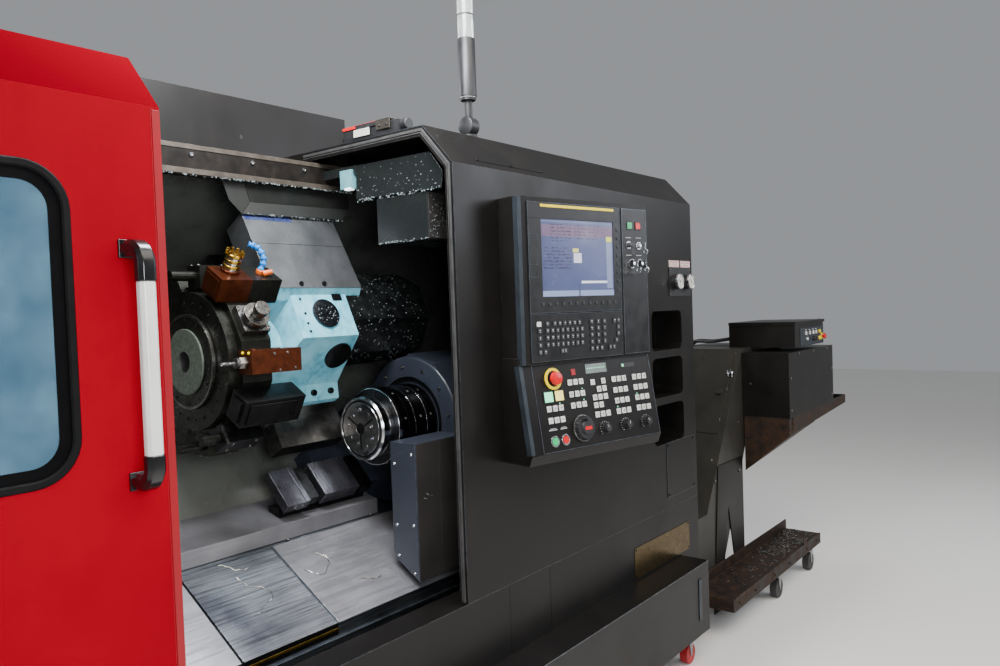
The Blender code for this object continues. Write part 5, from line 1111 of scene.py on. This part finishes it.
addDrops(shifted(crestFace, 1.875, 0.075, 0.0071), -0.036, -0.034, 0.036, 0.026, 40, 2.0)
addPiece("turretDrops", "coolantBead", 0, "turret")

# tool disc: cap, bolt circles, dark holders, brown holder with its nozzles
discFace = facing(turretCentre, (-1, 0, 0), (0, 0.5, 0.866))
addCapped(discFace, [(-1.4845, 0.03), (-1.485, 0.0885), (-1.4862, 0.0903), (-1.4905, 0.0903)], 48)
addCapped(discFace, [(-1.4838, 0.0265), (-1.485, 0.03)], 32, 1)
addRing(discFace, 0.124, 0.1305, -1.4912, 48, 2, -1.499)
for spot in around(discFace, 24, 0.16, -1.502, 6):
    addScrew(spot, 0.0048, 0.0025, 1)
for spot in around(discFace, 12, 0.113, -1.492):
    addScrew(spot, 0.0042, 0.0022, 1)
addPiece("discCap", "speckledCastIron blackOxideSteel agedToolSteel", 0.4, "disc")
addBox(stationFace(2), (1.5042, -0.0398, 0.206), (1.6908, 0.0398, 0.2718))
addBox(stationFace(3), (1.5042, -0.0318, 0.206), (1.6208, 0.0318, 0.2638))
addBoxes(stationFace(2), [
    (1.52, -0.03, 0.2716, 1.67, 0.03, 0.276), (1.4985, -0.03, 0.22, 1.5045, 0.03, 0.26)])
addPiece("darkHolders", "blackOxideSteel", 1.2, "disc")
addBox(stationFace(3), (1.5044, 0.03, 0.21), (1.512, 0.0324, 0.2644))
for number in (2, 3, 4, 9, 10):
    for x in (1.53, 1.6):
        for side in (-0.018, 0.018):
            addScrew(shifted(stationFace(number), x, side, 0.2718 if number in (2, 9) else 0.2635),
                0.0055, 0.0028)
for x in (1.533, 1.617):
    for side in (-0.03, 0.03):
        addScrew(shifted(slantFace, x + (0.021 if x < 1.6 else -0.021) * 0.35, side, 0.2273), 0.0062,
            0.0026)
addPiece("holderScrews", "agedToolSteel", 0.2, "disc")
collet = shifted(slantFace, 1.575, 0)
addRing(collet, 0.0225, 0.035, 0.2482, 36, 0, 0.226)
addRing(collet, 0.0345, 0.0372, 0.233, 36, 1, 0.227)
addPiece("radialHolderRings", "agedToolSteel blackOxideSteel", 0.6, "disc")
addTurned(collet, [(0.2802, 0.0095), (0.2802, 0.019), (0.2785, 0.0214), (0.264, 0.0218), (0.264, 0.01),
    (0.2802, 0.0095)], 32)
addCapped(collet, [(0.275, 0.0096), (0.264, 0.0096)], 20, 1)
for k in range(8):
    addBox(turned(collet, pi * k / 4), (0.0098, -0.0005, 0.266), (0.0219, 0.0005, 0.2805), 1)
addPiece("colletNut", "agedToolSteel blackOxideSteel", 0.3, "collet")

axial = {"left": 1.52, "front": -0.313, "high": 1.3335}
topFace = levelAt(0, 0, axial["high"])
for x, radius in ((1.545, 0.0085), (1.612, 0.0095)):
    addRing(shifted(topFace, x, 0.338), radius, radius + 0.0035, 0.0022, 20, 0, -0.0002)
    addCapped(shifted(topFace, x, 0.338), [(0.0006, radius), (-0.001, radius)], 20, 1)
axialFront = shifted(frontFace, 0, 0, axial["front"])
for x, z, radius in ((1.59, 1.322, 0.004), (1.632, 1.322, 0.004), (1.552, 1.28, 0.0034),
        (1.606, 1.2775, 0.0034), (1.655, 1.28, 0.0034)):
    addScrew(shifted(axialFront, x, z), radius, 0.0022, 2)
axialEnd = facing(at(axial["left"], 0, 0), (-1, 0, 0))
addRing(shifted(axialEnd, -0.351, 1.3025), 0.006, 0.01, 0.0025, 20, 2, -0.0002)
for y, z in ((0.322, 1.3265), (0.349, 1.3265)):
    addTurned(shifted(axialEnd, -y, z), [(0.004, 0), (0.0045, 0.002), (0.003, 0.0038), (-0.001, 0.0038),
        (-0.001, 0)], 14, 3)
addBox(axialFront, (1.5205, 1.272, 0.0001), (1.556, 1.333, 0.003))
addPiece("axialHolderDetails", "copperBrownOxide blackOxideSteel agedToolSteel yellowPolishedAbs", 0.4,
    "disc")
addTurned(shifted(axialEnd, -0.339, 1.3025), [(0.022, 0.0056), (0.0225, 0.015), (0.02, 0.0165),
    (0.0015, 0.0165), (0.0015, 0.0056), (0.022, 0.0056)], 6)
addTurned(shifted(axialEnd, -0.339, 1.3025), [(0.031, 0.0051), (0.03, 0.01), (0.021, 0.0125),
    (0.021, 0.0051), (0.031, 0.0051)], 24)
for k in range(2):                             # flutes of the drill
    twist = [at(axial["left"] - 0.032 - 0.0018 * n, 0.339 + 0.0042 * cos(n * 0.32 + pi * k),
        1.3025 + 0.0042 * sin(n * 0.32 + pi * k)) for n in range(23)]
    addTube(twist, 0.0013, 6, 1)
addPiece("drillNut", "agedToolSteel brightChromePlate", 0.2, "drill")

brown = stationFace(11)
addBoxes(brown, [
    (1.5042, -0.04, 0.2058, 1.598, 0.04, 0.2722), (1.598, -0.0398, 0.2058, 1.691, 0.0398, 0.2718, 5),
    (1.502, -0.03, 0.215, 1.5045, 0.032, 0.264)])
nozzle = shifted(brown, 1.556, 0.01, 0.2722)
for foot, radius, paint in ((0, 0.026, 0), (0.006, 0.022, 1), (0.014, 0.0235, 2), (0.021, 0.019, 1),
        (0.03, 0.0225, 2), (0.036, 0.02, 1), (0.046, 0.0245, 2)):
    addCapped(nozzle, [(foot + 0.008, radius - 0.0015), (foot + 0.0065, radius), (foot, radius)], 12,
        paint)
for k in range(9):
    tooth = turned(nozzle, 2 * pi * k / 9)
    addBox(tooth, (0.017, -0.003, 0.052), (0.025, 0.003, 0.062), 2)
addCapped(shifted(brown, 1.645, 0.004, 0.269), [(0.014, 0.009), (0.011, 0.0115), (-0.001, 0.0115)], 16, 3)
addCapped(facing(brown @ Vector((1.65, -0.012, 0.279)), (0.8, -0.35, 0.2)),
    [(0.02, 0.0065), (-0.006, 0.0085)], 14, 3)
hose = smoothWay([brown @ Vector(p) for p in ((1.645, 0.004, 0.28), (1.656, 0.018, 0.306),
    (1.65, 0.046, 0.326), (1.63, 0.066, 0.33))], 8)
addTube(hose, 0.008, 12, 4, [0.0098 if n % 4 < 2 else 0.0062 for n in range(len(hose))])
addPiece("coolantNozzles",
    "copperBrownOxide brightChromePlate turnedBrassNozzle orangeAcetalNozzle blueAcetalHose oiledDiscSteel",
    0.4, "disc")
print("turret dressed")

# sub-spindle: chuck face with rings, slits and holes, banded barrel, screws, flange, cover of the drive
spindleLine = at(0, 0.434, 1.06)
subAxis = facing(spindleLine, (-1, 0, 0))
addTurned(subAxis, [(-2.029, 0.099), (-2.029, 0.1008), (-1.985, 0.1008), (-1.9795, 0.096),
    (-1.9795, 0.09), (-1.9815, 0.0885), (-1.9815, 0.0835), (-1.979, 0.082), (-1.9785, 0.0185),
    (-1.9799, 0.0185), (-1.983, 0.096), (-1.987, 0.099), (-2.029, 0.099)], 72)
for k in range(3):
    slit = turned(subAxis, radians(30 + 120 * k))
    addBox(slit, (0.012, -0.0032, -1.98), (0.066, 0.0032, -1.9781), 1)
for k in range(9):
    spot = shifted(turned(subAxis, radians(40 * k + 12)), 0.058 if k % 3 else 0.05, 0, -1.9786)
    addRing(spot, 0.0032, 0.0062, 0.0008, 14, 0, -0.0003)
    addCapped(spot, [(0.0003, 0.0032), (-0.0003, 0.0032)], 14, 1)
addTurned(subAxis, [(-1.979, 0), (-1.9784, 0.018), (-1.983, 0.019), (-1.99, 0)], 30, 1)
addRing(subAxis, 0.119, 0.1222, -2.0292, 72, 0, -2.04)
for near in (2.099, 2.15):
    addRing(subAxis, 0.119, 0.1216, -near, 72, 0, -near - 0.002)
for spot in around(subAxis, 6, 0.1085, -2.0297, 25):
    addScrew(spot, 0.0052, 0.0026, 1)
addPiece("subChuckFace", "turnedChromeFace blackOxideSteel", 0.3, "sub_spindle")
for near, far in ((2.041, 2.07), (2.073, 2.098), (2.1015, 2.149), (2.153, 2.19)):
    addRing(subAxis, 0.118, 0.1212, -near, 72, 0, -far)
for k in range(8):
    spot = turned(subAxis, radians(45 * k + 14))
    for x in (2.06, 2.125, 2.172):
        addScrew(facing(spot @ Vector((0.1211, 0, -x)), spot.to_3x3() @ Vector((1, 0, 0)), (1, 0, 0)),
            0.0044, 0.0016, 1)
addPiece("subChuckBarrel", "polishedBlackOxide agedToolSteel", 0.5, "sub_spindle")
for spot in around(subAxis, 12, 0.176, -2.1928, 8):
    addScrew(spot, 0.0062, 0.0045)
addRing(subAxis, 0.129, 0.143, -2.1955, 64, 1, -2.201)
addPiece("subHeadScrews", "agedToolSteel blackOxideSteel", 0.3, "sub_carriage")
addTurned(subAxis, [(-2.1925, 0.144), (-2.1925, 0.202), (-2.1945, 0.207), (-2.1975, 0.2095),
    (-2.2004, 0.2095), (-2.2004, 0.144), (-2.1925, 0.144)], 96)
addPiece("subHeadFlange", "paleBlueGreyEnamel", 0.5, "sub_carriage")
addPlate([at(1.9783, y, z) for y, z in ((0.2015, 0.624), (0.2015, 1.025), (0.3035, 0.985), (0.3035, 0.84),
    (0.296, 0.815), (0.304, 0.79), (0.304, 0.686))], (0.0014, 0, 0))
addBoxes(frontFace, [
    (1.9815, 0.623, -0.1999, 2.349, 1.029, -0.1986, 1), (2.078, 0.625, -0.199, 2.348, 1.028, -0.1981, 1)])
driveSide = facing(at(1.9783, 0, 0), (-1, 0, 0))
for y, z in ((0.288, 0.965), (0.216, 0.998), (0.286, 0.782), (0.216, 0.788), (0.282, 0.69), (0.218, 0.645)):
    addScrew(shifted(driveSide, -y, z), 0.005, 0.003, 2)
addScrews(frontFace, [(2.01, 0.866), (2.017, 0.862), (2.024, 0.872), (2.019, 0.877), (2.04, 0.868)], 0.0022,
    0.001, 2, rise=-0.1984, steps=8)
addPiece("driveCoverPlates", "paleBlueGreyEnamel brownGreySheet brightChromePlate", 0.4, "sub_carriage")
print("sub-spindle dressed")

# main chuck: face rings, slots of the jaws and their bolts
mainAxis = facing(spindleLine, (1, 0, 0))
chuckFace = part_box("chuck_jaw_1")[0][0] - machineLeft - 0.0003
for k in range(3):
    slot = turned(mainAxis, 2 * pi * k / 3 + pi / 2)
    for side in (-1, 1):
        addBox(slot, (0.045, side * 0.0235 - 0.0012, chuckFace - 0.0005),
            (0.118, side * 0.0235 + 0.0012, chuckFace + 0.0008), 1)
    for spread in (-0.5, 0.5):
        spot = shifted(turned(slot, pi / 3 + spread), 0.085, 0, chuckFace)
        addScrew(spot, 0.0085, 0.004, 1)
addRing(mainAxis, 0.031, 0.037, chuckFace + 0.0012, 48, 0, chuckFace - 0.001)
addPiece("mainChuckFace", "agedToolSteel blackOxideSteel", 0.3, "main_spindle")

# door rail, hood over the turret's cover, hanging sheets of the column, lamp
addBoxes(frontFace, [
    (1.16, 1.818, -0.5797, 2.118, 1.833, -0.5765), (1.16, 1.886, -0.5797, 2.118, 1.899, -0.578)])
addPiece("railLips", "rubbedRailLip", 0.8)
addPlate([at(x, 0.6, z) for x, z in ((1.712, 1.8155), (2.108, 1.8155), (2.108, 1.762), (1.731, 1.757))],
    (0, -0.003, 0))
addPlate([at(1.731, 0.5985, 1.758), at(2.108, 0.5985, 1.763), at(2.07, 0.5905, 1.727),
    at(1.697, 0.5905, 1.721)], (0, -0.003, 0), 1)
addPlate([at(1.7105, 0.6, 1.8155), at(1.7295, 0.6, 1.757), at(1.6955, 0.592, 1.721), at(1.66, 0.6, 1.76),
    at(1.64, 0.6, 1.8155)], (0, -0.003, 0), 1)
addPiece("coverHood", "hoodSheetEnamel hoodBevelEnamel", 0.4)
addPlate([at(1.9965, y, z) for y, z in ((0.426, 1.874), (0.114, 1.871), (0.066, 1.809), (0.074, 1.763),
    (0.432, 1.77))], (0.003, 0, 0))
addPlate([at(1.996, y, z) for y, z in ((0.6, 1.876), (0.426, 1.876), (0.43, 1.85), (0.6, 1.846))],
    (0.003, 0, 0))
addBoxes(frontFace, [
    (2.0, 1.625, -0.344, 2.24, 1.762, -0.133), (2.003, 1.628, -0.1345, 2.237, 1.76, -0.1315, 1)])
addPiece("columnHangings", "paleWetSheet brownGreySheet", 0.8)
addBoxes(frontFace, [
    (1.986, 1.805, -0.492, 2.012, 1.864, -0.44), (1.984, 1.801, -0.47, 2.0, 1.808, -0.442, 1)])
addPiece("workLamp", "seaGreenLampHousing litLampGlass", 0.8)
hanging = facing(at(1.9964, 0, 0), (-1, 0, 0))
addDrops(hanging, -0.43, 1.76, -0.078, 1.77, 70, 2.8)
addDrops(hanging, -0.42, 1.775, -0.09, 1.865, 60, 2.0)
addDrops(facing(at(1.9998, 0, 0), (-1, 0, 0)), -0.344, 1.624, -0.133, 1.63, 40, 2.6)
addDrops(shifted(frontFace, 0, 0, -0.1315), 2.006, 1.63, 2.1, 1.756, 90, 2.0)
for low, high, y, count in ((1.36, 2.11, 0.5755, 150), (1.7, 2.07, 0.587, 60)):
    for k in range(count):
        size = random.uniform(0.0012, 0.003)
        spot = facing(at(random.uniform(low, high), y + random.uniform(-0.01, 0.01),
            1.8165 if y < 0.58 else 1.7235), (0, 0, -1), (0, 1, 0))
        addTurned(spot, [(size * 1.6, 0), (size * 1.2, size * 0.6), (-0.0005, size), (-0.0005, 0)], 6)
addPiece("coolantDrops", "coolantBead", 0)
# painted shade: two flat black discs stand for the dark inside of two holes in the rear housing
for x, z in ((1.844, 2.0), (1.823, 1.949)):
    addCapped(shifted(frontFace, x, z, -0.7995), [(0.0006, 0.006), (-0.001, 0.006)], 16)
addPiece("housingHolePaintedShade", "blackGlassFilledNylon", 0)

# floor: separate plates with a brass-edged front lip, step, way covers, chips
slopeFace = facing(at(0, 0.21, 0.6), (0, -0.4831, 0.8756), (0, 0.8756, 0.4831))
addBoxes(slopeFace, [
    (1.09, -0.001, 0.0004, 1.387, 0.324, 0.0035), (1.683, 0.001, 0.0004, 3.43, 0.324, 0.0018)])
addPiece("plainFloorPlates", "plainStainlessPlate", 0.6)
addBoxes(slopeFace, [
    (1.392, -0.002, 0.0004, 1.677, 0.32, 0.006), (1.67, 0, 0.0055, 1.6775, 0.32, 0.0075, 1),
    (1.392, 0.312, 0.0055, 1.677, 0.317, 0.007, 1)])
addPiece("stripedFloorPlate", "strokedStainlessPlate wornAlloyEdgeLine", 0.8)
addBoxes(frontFace, [
    (1.392, 0.573, -0.209, 1.677, 0.603, -0.2065), (1.392, 0.584, -0.2066, 1.677, 0.5905, -0.2048, 1),
    (1.09, 0.56, -0.2095, 3.43, 0.564, -0.204, 2)])
addPiece("floorLips", "blackOxideSteel dullBrassStrip wornAlloyEdgeLine", 0.5)
# painted shade: black strips fill the gaps between the floor plates where shadow would fall
addBoxes(slopeFace, [
    (1.3868, 0, 0.0002, 1.3922, 0.324, 0.0006), (1.6772, 0, 0.0002, 1.6832, 0.324, 0.0006)])
for x in (1.395, 1.74, 2.06, 2.38, 2.75):
    addScrew(levelAt(x, 0.499, 0.764), 0.0055, 0.003, 1)
addPiece("floorGapShadeAndScrews", "blackOxideSteel agedToolSteel", 0)
addBox(frontFace, (1.09, 0.762, -0.51), (2.1, 0.808, -0.506))
addPlate([at(1.8702, 0.508, 0.808), at(2.1, 0.508, 0.808), at(2.1, 0.6, 0.83), at(1.8702, 0.6, 0.83)],
    (0, 0.0012, -0.0026))
addPlate([at(1.09, 0.508, 0.808), at(1.87, 0.508, 0.808), at(1.87, 0.668, 0.85), at(1.09, 0.668, 0.85)],
    (0, 0.0012, -0.0026))
addPiece("floorStep", "plainStainlessPlate", 0.8)
barFace = facing(at(0, 0.5, 0.866), (0, -0.7071, 0.7071), (0, 0.7071, 0.7071))
addBoxes(barFace, [
    (1.886, 0, -0.048, 2.024, 0.123, 0), (1.742, -0.008, -0.033, 1.822, 0.123, 0),
    (1.808, -0.008, -0.033, 1.824, 0.123, 0.003), (2.04, 0, -0.048, 2.08, 0.123, -0.005, 1),
    (1.834, 0.005, -0.044, 1.872, 0.123, -0.012, 1)])
addBox(frontFace, (1.745, 0.79, -0.596), (2.075, 0.85, -0.545), 1)
addPiece("wayCovers", "smokedWayCover blackOxideSteel", 0.8)


def addChip(start, heading, length, lift):
    # a curled string of swarf lying on the floor
    way, spot, turn = [], Vector(start), heading
    for n in range(length):
        way.append(slopeFace @ Vector((spot.x, spot.y, lift + 0.0022 + 0.0016 * sin(n * 1.7))))
        turn += random.uniform(-0.5, 0.5)
        spot += Vector((cos(turn), sin(turn), 0)) * 0.007
    addTube(way, 0.0008, 5)


for x, y, heading, length, lift in ((1.52, 0.255, -1.2, 32, 0.006), (1.5, 0.31, -0.9, 14, 0.006),
        (1.78, 0.25, -1.0, 26, 0.002), (1.84, 0.11, -0.8, 12, 0.002), (1.24, 0.24, -1.3, 20, 0.0035)):
    addChip((x, y, 0), heading, length, lift)
for k in range(160):
    left = random.uniform(1.4, 2.2)
    spot = shifted(slopeFace, left, random.uniform(0.01, 0.3), 0.0066 if left < 1.677 else 0.0022)
    addBox(turned(spot, random.uniform(0, 3.1)), (-0.0016, -0.0004, 0), (0.0016, 0.0004, 0.0008))
addPiece("swarf", "brightSwarf", 0)
print("work area dressed")


# conveyor: screws, latch knob, control plate, rusty chute with chips, conduits on their rail
guardFace = shifted(frontFace, 0, 0, 0.1801)
addScrews(guardFace, [(4.1, 1.04), (4.1, 0.886), (4.742, 1.037), (4.738, 0.899), (4.224, 1.148),
    (4.442, 1.148), (4.664, 1.148)], 0.0062, 0.0036)
addScrew(shifted(facing(at(4.0746, 0, 0), (-1, 0, 0)), -0.007, 1.011), 0.006, 0.0036)
sideFace = shifted(frontFace, 0, 0, -0.0499)
addScrews(sideFace, [(4.006, 1.16), (3.892, 1.002), (3.94, 1.085), (3.8, 0.87), (3.7, 0.7), (4.02, 0.83),
    (3.9, 0.64)], 0.0062, 0.0036)
addPiece("conveyorScrews", "agedToolSteel", 0)
addCapped(shifted(sideFace, 3.916, 1.07), [(0.024, 0.011), (0.0215, 0.015), (0.009, 0.016), (0.007, 0.01),
    (0.003, 0.01), (0.002, 0.021), (-0.001, 0.021)], 28)
addPiece("conveyorLatchKnob", "brightChromePlate", 0.4)
boxFace = shifted(frontFace, 0, 0, 0.1703)
addBox(boxFace, (4.275, 1.183, 0), (4.64, 1.268, 0.0016))
for x in (4.283, 4.632):
    for z in (1.19, 1.261):
        addScrew(shifted(boxFace, x, z, 0.0016), 0.0032, 0.0018, 1)
for x in (4.357, 4.415, 4.468, 4.514):
    addBoxes(boxFace, [
        (x - 0.0085, 1.2335, 0.001, x + 0.0085, 1.2505, 0.006, 2),
        (x - 0.011, 1.256, 0.0014, x + 0.011, 1.259, 0.002, 2)])
addTurned(shifted(boxFace, 4.374, 1.213), [(0.0075, 0), (0.007, 0.007), (0.0015, 0.0085), (0, 0.0085),
    (0, 0)], 20, 2)
addCapped(shifted(boxFace, 4.479, 1.209), [(0.015, 0.0095), (0.003, 0.012), (0, 0.012)], 24, 3)
addBox(shifted(boxFace, 4.479, 1.209), (-0.0025, -0.011, 0.012), (0.0025, 0.011, 0.019), 3)
for z in (1.243, 1.209):
    addTurned(shifted(boxFace, 4.571, z), [(0.009, 0), (0.0085, 0.0085), (0.002, 0.0105), (0, 0.0105),
        (0, 0)], 20, 4)
addCapped(shifted(boxFace, 4.613, 1.216), [(0.004, 0.0165), (0, 0.018)], 28, 4)
addCapped(shifted(boxFace, 4.613, 1.216), [(0.023, 0.0085), (0.021, 0.013), (0.012, 0.014), (0.01, 0.007),
    (0.003, 0.007)], 28, 5)
addPiece("conveyorControls",
    "slateAnodisedTrim agedToolSteel whiteMattKeyCap blackGlassFilledNylon yellowPolishedAbs redPolishedAbs",
    0.4)
lidFace = levelAt(0, 0, 1.3036)
for x in (4.3, 4.54):
    addCapped(facing(at(x - 0.02, 0.1605, 1.2965), (1, 0, 0)), [(0.04, 0.005), (0, 0.005)], 14)
for x in (4.215, 4.629):
    addScrew(shifted(lidFace, x, -0.155), 0.005, 0.0028)
addPiece("controlLidHinges", "agedToolSteel", 0.2, "control_lid")

chute = [(4.122, 0.7765), (4.988, 0.8265), (4.988, 0.869), (4.122, 0.8505)]
addPlate([at(x, -0.1782, z) for x, z in chute], (0, -0.0014, 0))
addPlate([at(x, -0.0478, z) for x, z in chute], (0, 0.0014, 0))
addPlate([at(4.9902, y, z) for y, z in ((-0.179, 0.8265), (-0.047, 0.8265), (-0.047, 0.869),
    (-0.179, 0.869))], (0.0014, 0, 0))
addPlate([at(4.12, y, z) for y, z in ((-0.179, 0.7765), (-0.047, 0.7765), (-0.047, 0.8505),
    (-0.179, 0.8505))], (-0.0014, 0, 0))
addBox(frontFace, (4.36, 0.1735, 0.135), (4.4, 0.2, 0.1395))
hopper = {"left": 4.0775, "right": 4.45, "front": -0.176, "back": 0.0425, "top": 0.8515,
    "frontLow": (0.768, 0.79), "backLow": (0.585, 0.7)}
corners = [[at(x, y, z) for y, z in ((hopper["front"], hopper["top"]),
    (hopper["front"], hopper["frontLow"][n]), (hopper["back"], hopper["backLow"][n]),
    (hopper["back"], hopper["top"]))] for n, x in enumerate((hopper["left"], hopper["right"]))]
addPlate(corners[0], (0.002, 0, 0))
addPlate(corners[1], (-0.002, 0, 0))
addPlate([corners[0][0], corners[0][1], corners[1][1], corners[1][0]], (0, 0.002, 0))
addPlate([corners[0][3], corners[0][2], corners[1][2], corners[1][3]], (0, -0.002, 0))
addPlate([corners[0][1], corners[1][1], corners[0][2]], (0, 0, 0.002))
addPlate([corners[1][1], corners[1][2], corners[0][2]], (0, 0, 0.002))
addBoxes(frontFace, [
    (3.46, 0.1698, 0.136, 4.62, 0.1738, 0.14), (3.905, 0.122, 0.1395, 4.155, 0.168, 0.142)])
for x in (3.93, 4.13, 4.4, 4.56, 3.52, 3.7):
    addScrew(shifted(frontFace, x, 0.145, 0.1418 if 3.9 < x < 4.2 else 0.1398), 0.0065, 0.0045)
addPiece("rustyChuteAndDeckPlates", "rustedBareSteel", 0.6)
chips = {"inChute": 260, "onDeck": 420, "deckTop": 0.1708}
for k in range(chips["inChute"]):
    x = random.uniform(4.8, 4.985)
    floorHeight = 0.778 + (x - 4.12) * 0.0575
    spot = Matrix.Translation(at(x, random.uniform(-0.172, -0.054), floorHeight + random.uniform(0, 0.018)))
    addBox(turned(turned(spot, random.uniform(0, 3.1)), random.uniform(-0.6, 0.6), "X"),
           (-0.005, -0.001, -0.0007), (0.005, 0.001, 0.0007))
for k in range(chips["onDeck"]):
    heaped = k % 3 > 0
    x = random.uniform(4.12, 4.6) if heaped else random.uniform(3.6, 4.6)
    spot = Matrix.Translation(at(x, random.uniform(-0.12, 0.03),
        chips["deckTop"] + (random.uniform(0, 0.01) if heaped else 0)))
    half = random.uniform(0.003, 0.008)
    addBox(turned(turned(spot, random.uniform(0, 3.1)), random.uniform(-0.3, 0.3), "Y"),
           (-half, -0.0016, -0.001), (half, 0.0016, 0.0012))
addPiece("conveyorChips", "brightSwarf", 0)

hoseWays = [[(3.441, 0.48, 1.075), (3.65, 0.48, 1.105), (3.95, 0.48, 1.13), (4.22, 0.48, 1.145),
    (4.36, 0.478, 1.165), (4.4, 0.44, 1.198), (4.405, 0.33, 1.2), (4.405, 0.161, 1.225)],
    [(3.441, 0.48, 1.047), (3.65, 0.48, 1.077), (3.95, 0.48, 1.102), (4.22, 0.48, 1.117), (4.38, 0.48, 1.135),
    (4.435, 0.446, 1.197), (4.437, 0.33, 1.2), (4.437, 0.161, 1.225)]]
for stops in hoseWays:
    way = smoothWay([at(*stop) for stop in stops], 26)
    addTube(way, 0.01, 10, 0, [0.0105 if n % 2 else 0.0086 for n in range(len(way))])
addBox(facing(at(3.4402, 0.48, 1.061), (1, 0, 0)), (-0.034, -0.036, 0), (0.034, 0.036, 0.006))
addPlate([at(x, 0.4925, z) for x, z in ((3.441, 1.036), (4.3, 1.108), (4.3, 1.16), (3.441, 1.088))],
    (0, 0.003, 0), 1)
for x in (4.1, 4.26):
    addBox(facing(at(0, 0.4495, 0), (0, 1, 0)), (-x - 0.015, 1.1, 0), (-x + 0.015, 1.14, 0.0435), 1)
for x in (3.56, 3.78, 4.0, 4.2):
    middle = 1.062 + (x - 3.441) * 0.093
    hoop = [(0.4935, 0.029), (0.4675, 0.029), (0.4675, -0.029), (0.4935, -0.029)]
    addTube([at(x, y, middle + z) for y, z in hoop], 0.0022, 6, 1)
addPiece("conduitsOnRail", "blackGlassFilledNylon agedToolSteel", 0)
for x in (3.72, 4.0):
    addScrew(shifted(frontFace, x, 0.6, -0.0437), 0.007, 0.005)
addPiece("standScrews", "agedToolSteel", 0)
print("conveyor dressed")

# ends and back: removable panels with screws, louvres, cabinet handle and hinges
leftFace = facing(at(0, 0, 0), (-1, 0, 0))     # x runs to the front here
rightFace = facing(at(3.44, 0, 0), (1, 0, 0))  # x runs to the back
backFace = facing(at(0, 0, 0), (0, 1, 0))      # x runs to the left


def addPanel(place, left, low, right, high, screw=1):
    addBox(place, (left, low, -0.0005), (right, high, 0.0018))
    for x in (left + 0.02, (left + right) / 2, right - 0.02):
        for y in (low + 0.02, high - 0.02):
            addScrew(shifted(place, x, y, 0.0018), 0.0055, 0.003, screw)


def addLouvres(place, left, low, right, count, pitch=0.018):
    for k in range(count):
        corners = [(0, 0), (0.0075, 0.002), (0.006, 0.008), (0, 0.0125)]
        near = [place @ Vector((left, low + pitch * k + up, out)) for out, up in corners]
        addPlate(near, place.to_3x3() @ Vector((right - left, 0, 0)))


addPanel(leftFace, -0.74, 0.68, -0.06, 1.76)
addPanel(leftFace, -1.5, 0.48, -0.88, 1.25)
addPanel(rightFace, 0.86, 1.26, 1.5, 1.88)
addPanel(rightFace, 0.06, 1.28, 0.74, 1.78)
addPanel(rightFace, 0.06, 0.68, 0.4, 1.0)
addPanel(shifted(backFace, 0, 0, 1.5603), -0.82, 0.5, -0.06, 1.98)
addPanel(shifted(backFace, 0, 0, 1.5603), -3.36, 0.5, -2.34, 1.2)
addPanel(shifted(backFace, 0, 0, 1.5603), -3.36, 1.28, -2.34, 1.88)
addPiece("sidePanels", "charcoalWrinkleCoat agedToolSteel", 0.5)
addLouvres(shifted(leftFace, 0, 0, 0.0016), -0.66, 1.45, -0.2, 12)
addLouvres(shifted(rightFace, 0, 0, 0.0016), 0.94, 1.6, 1.42, 12)
addLouvres(shifted(backFace, 0, 0, 1.5619), -3.2, 0.62, -2.5, 14)
addPiece("louvres", "charcoalWrinkleCoat", 0.3)
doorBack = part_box("cabinet_door")[1][1] - frontSheet
doorFace = shifted(backFace, 0, 0, doorBack)
addLouvres(doorFace, -1.95, 0.64, -1.55, 12)
addLouvres(doorFace, -1.4, 0.64, -1.0, 12)
frameStrip(doorFace, -2.135, 0.565, -0.865, 1.835, 0.01, 0.002)
addPiece("cabinetLouvres", "charcoalWrinkleCoat", 0.3, "cabinet_door")
addBoxes(doorFace, [
    (-2.1, 1.12, 0, -2.06, 1.29, 0.006), (-2.092, 1.135, 0.0055, -2.068, 1.25, 0.028, 1)])
addCapped(shifted(doorFace, -2.08, 1.268), [(0.02, 0.014), (0.004, 0.017)], 20, 1)
for z in (0.68, 1.2, 1.72):
    addCapped(levelAt(0.853, doorBack + 0.005, z - 0.04),
        [(0.08, 0.008), (0, 0.008)], 16, 1)
addPiece("cabinetHandle", "blackGlassFilledNylon agedToolSteel", 0.5, "cabinet_door")
for x in (0.3, 3.1):                         # lifting eyes on the rear housing
    for y in (0.95, 1.42):
        foot = levelAt(x, y, 2.1252 if x < 2.28 else 1.9402)
        addCapped(foot, [(0.01, 0.02), (0, 0.022)], 18)
        loop = [foot @ Vector((0.017 * cos(t), 0, 0.024 + 0.017 * sin(t)))
            for t in (2 * pi * n / 18 for n in range(19))]
        addTube(loop, 0.0055, 8)
addPiece("liftingEyes", "agedToolSteel", 0)
for x in (0.16, 3.18):                         # sight strips of the tank
    addBox(shifted(frontFace, 0, 0, 0.1203), (x - 0.012 if x > 1 else x + 0.13, 0.18, 0),
        (x + 0.012 if x > 1 else x + 0.154, 0.34, 0.003))
addPiece("tankSightStrips", "slateAnodisedTrim", 0.5)
print("ends and back dressed")
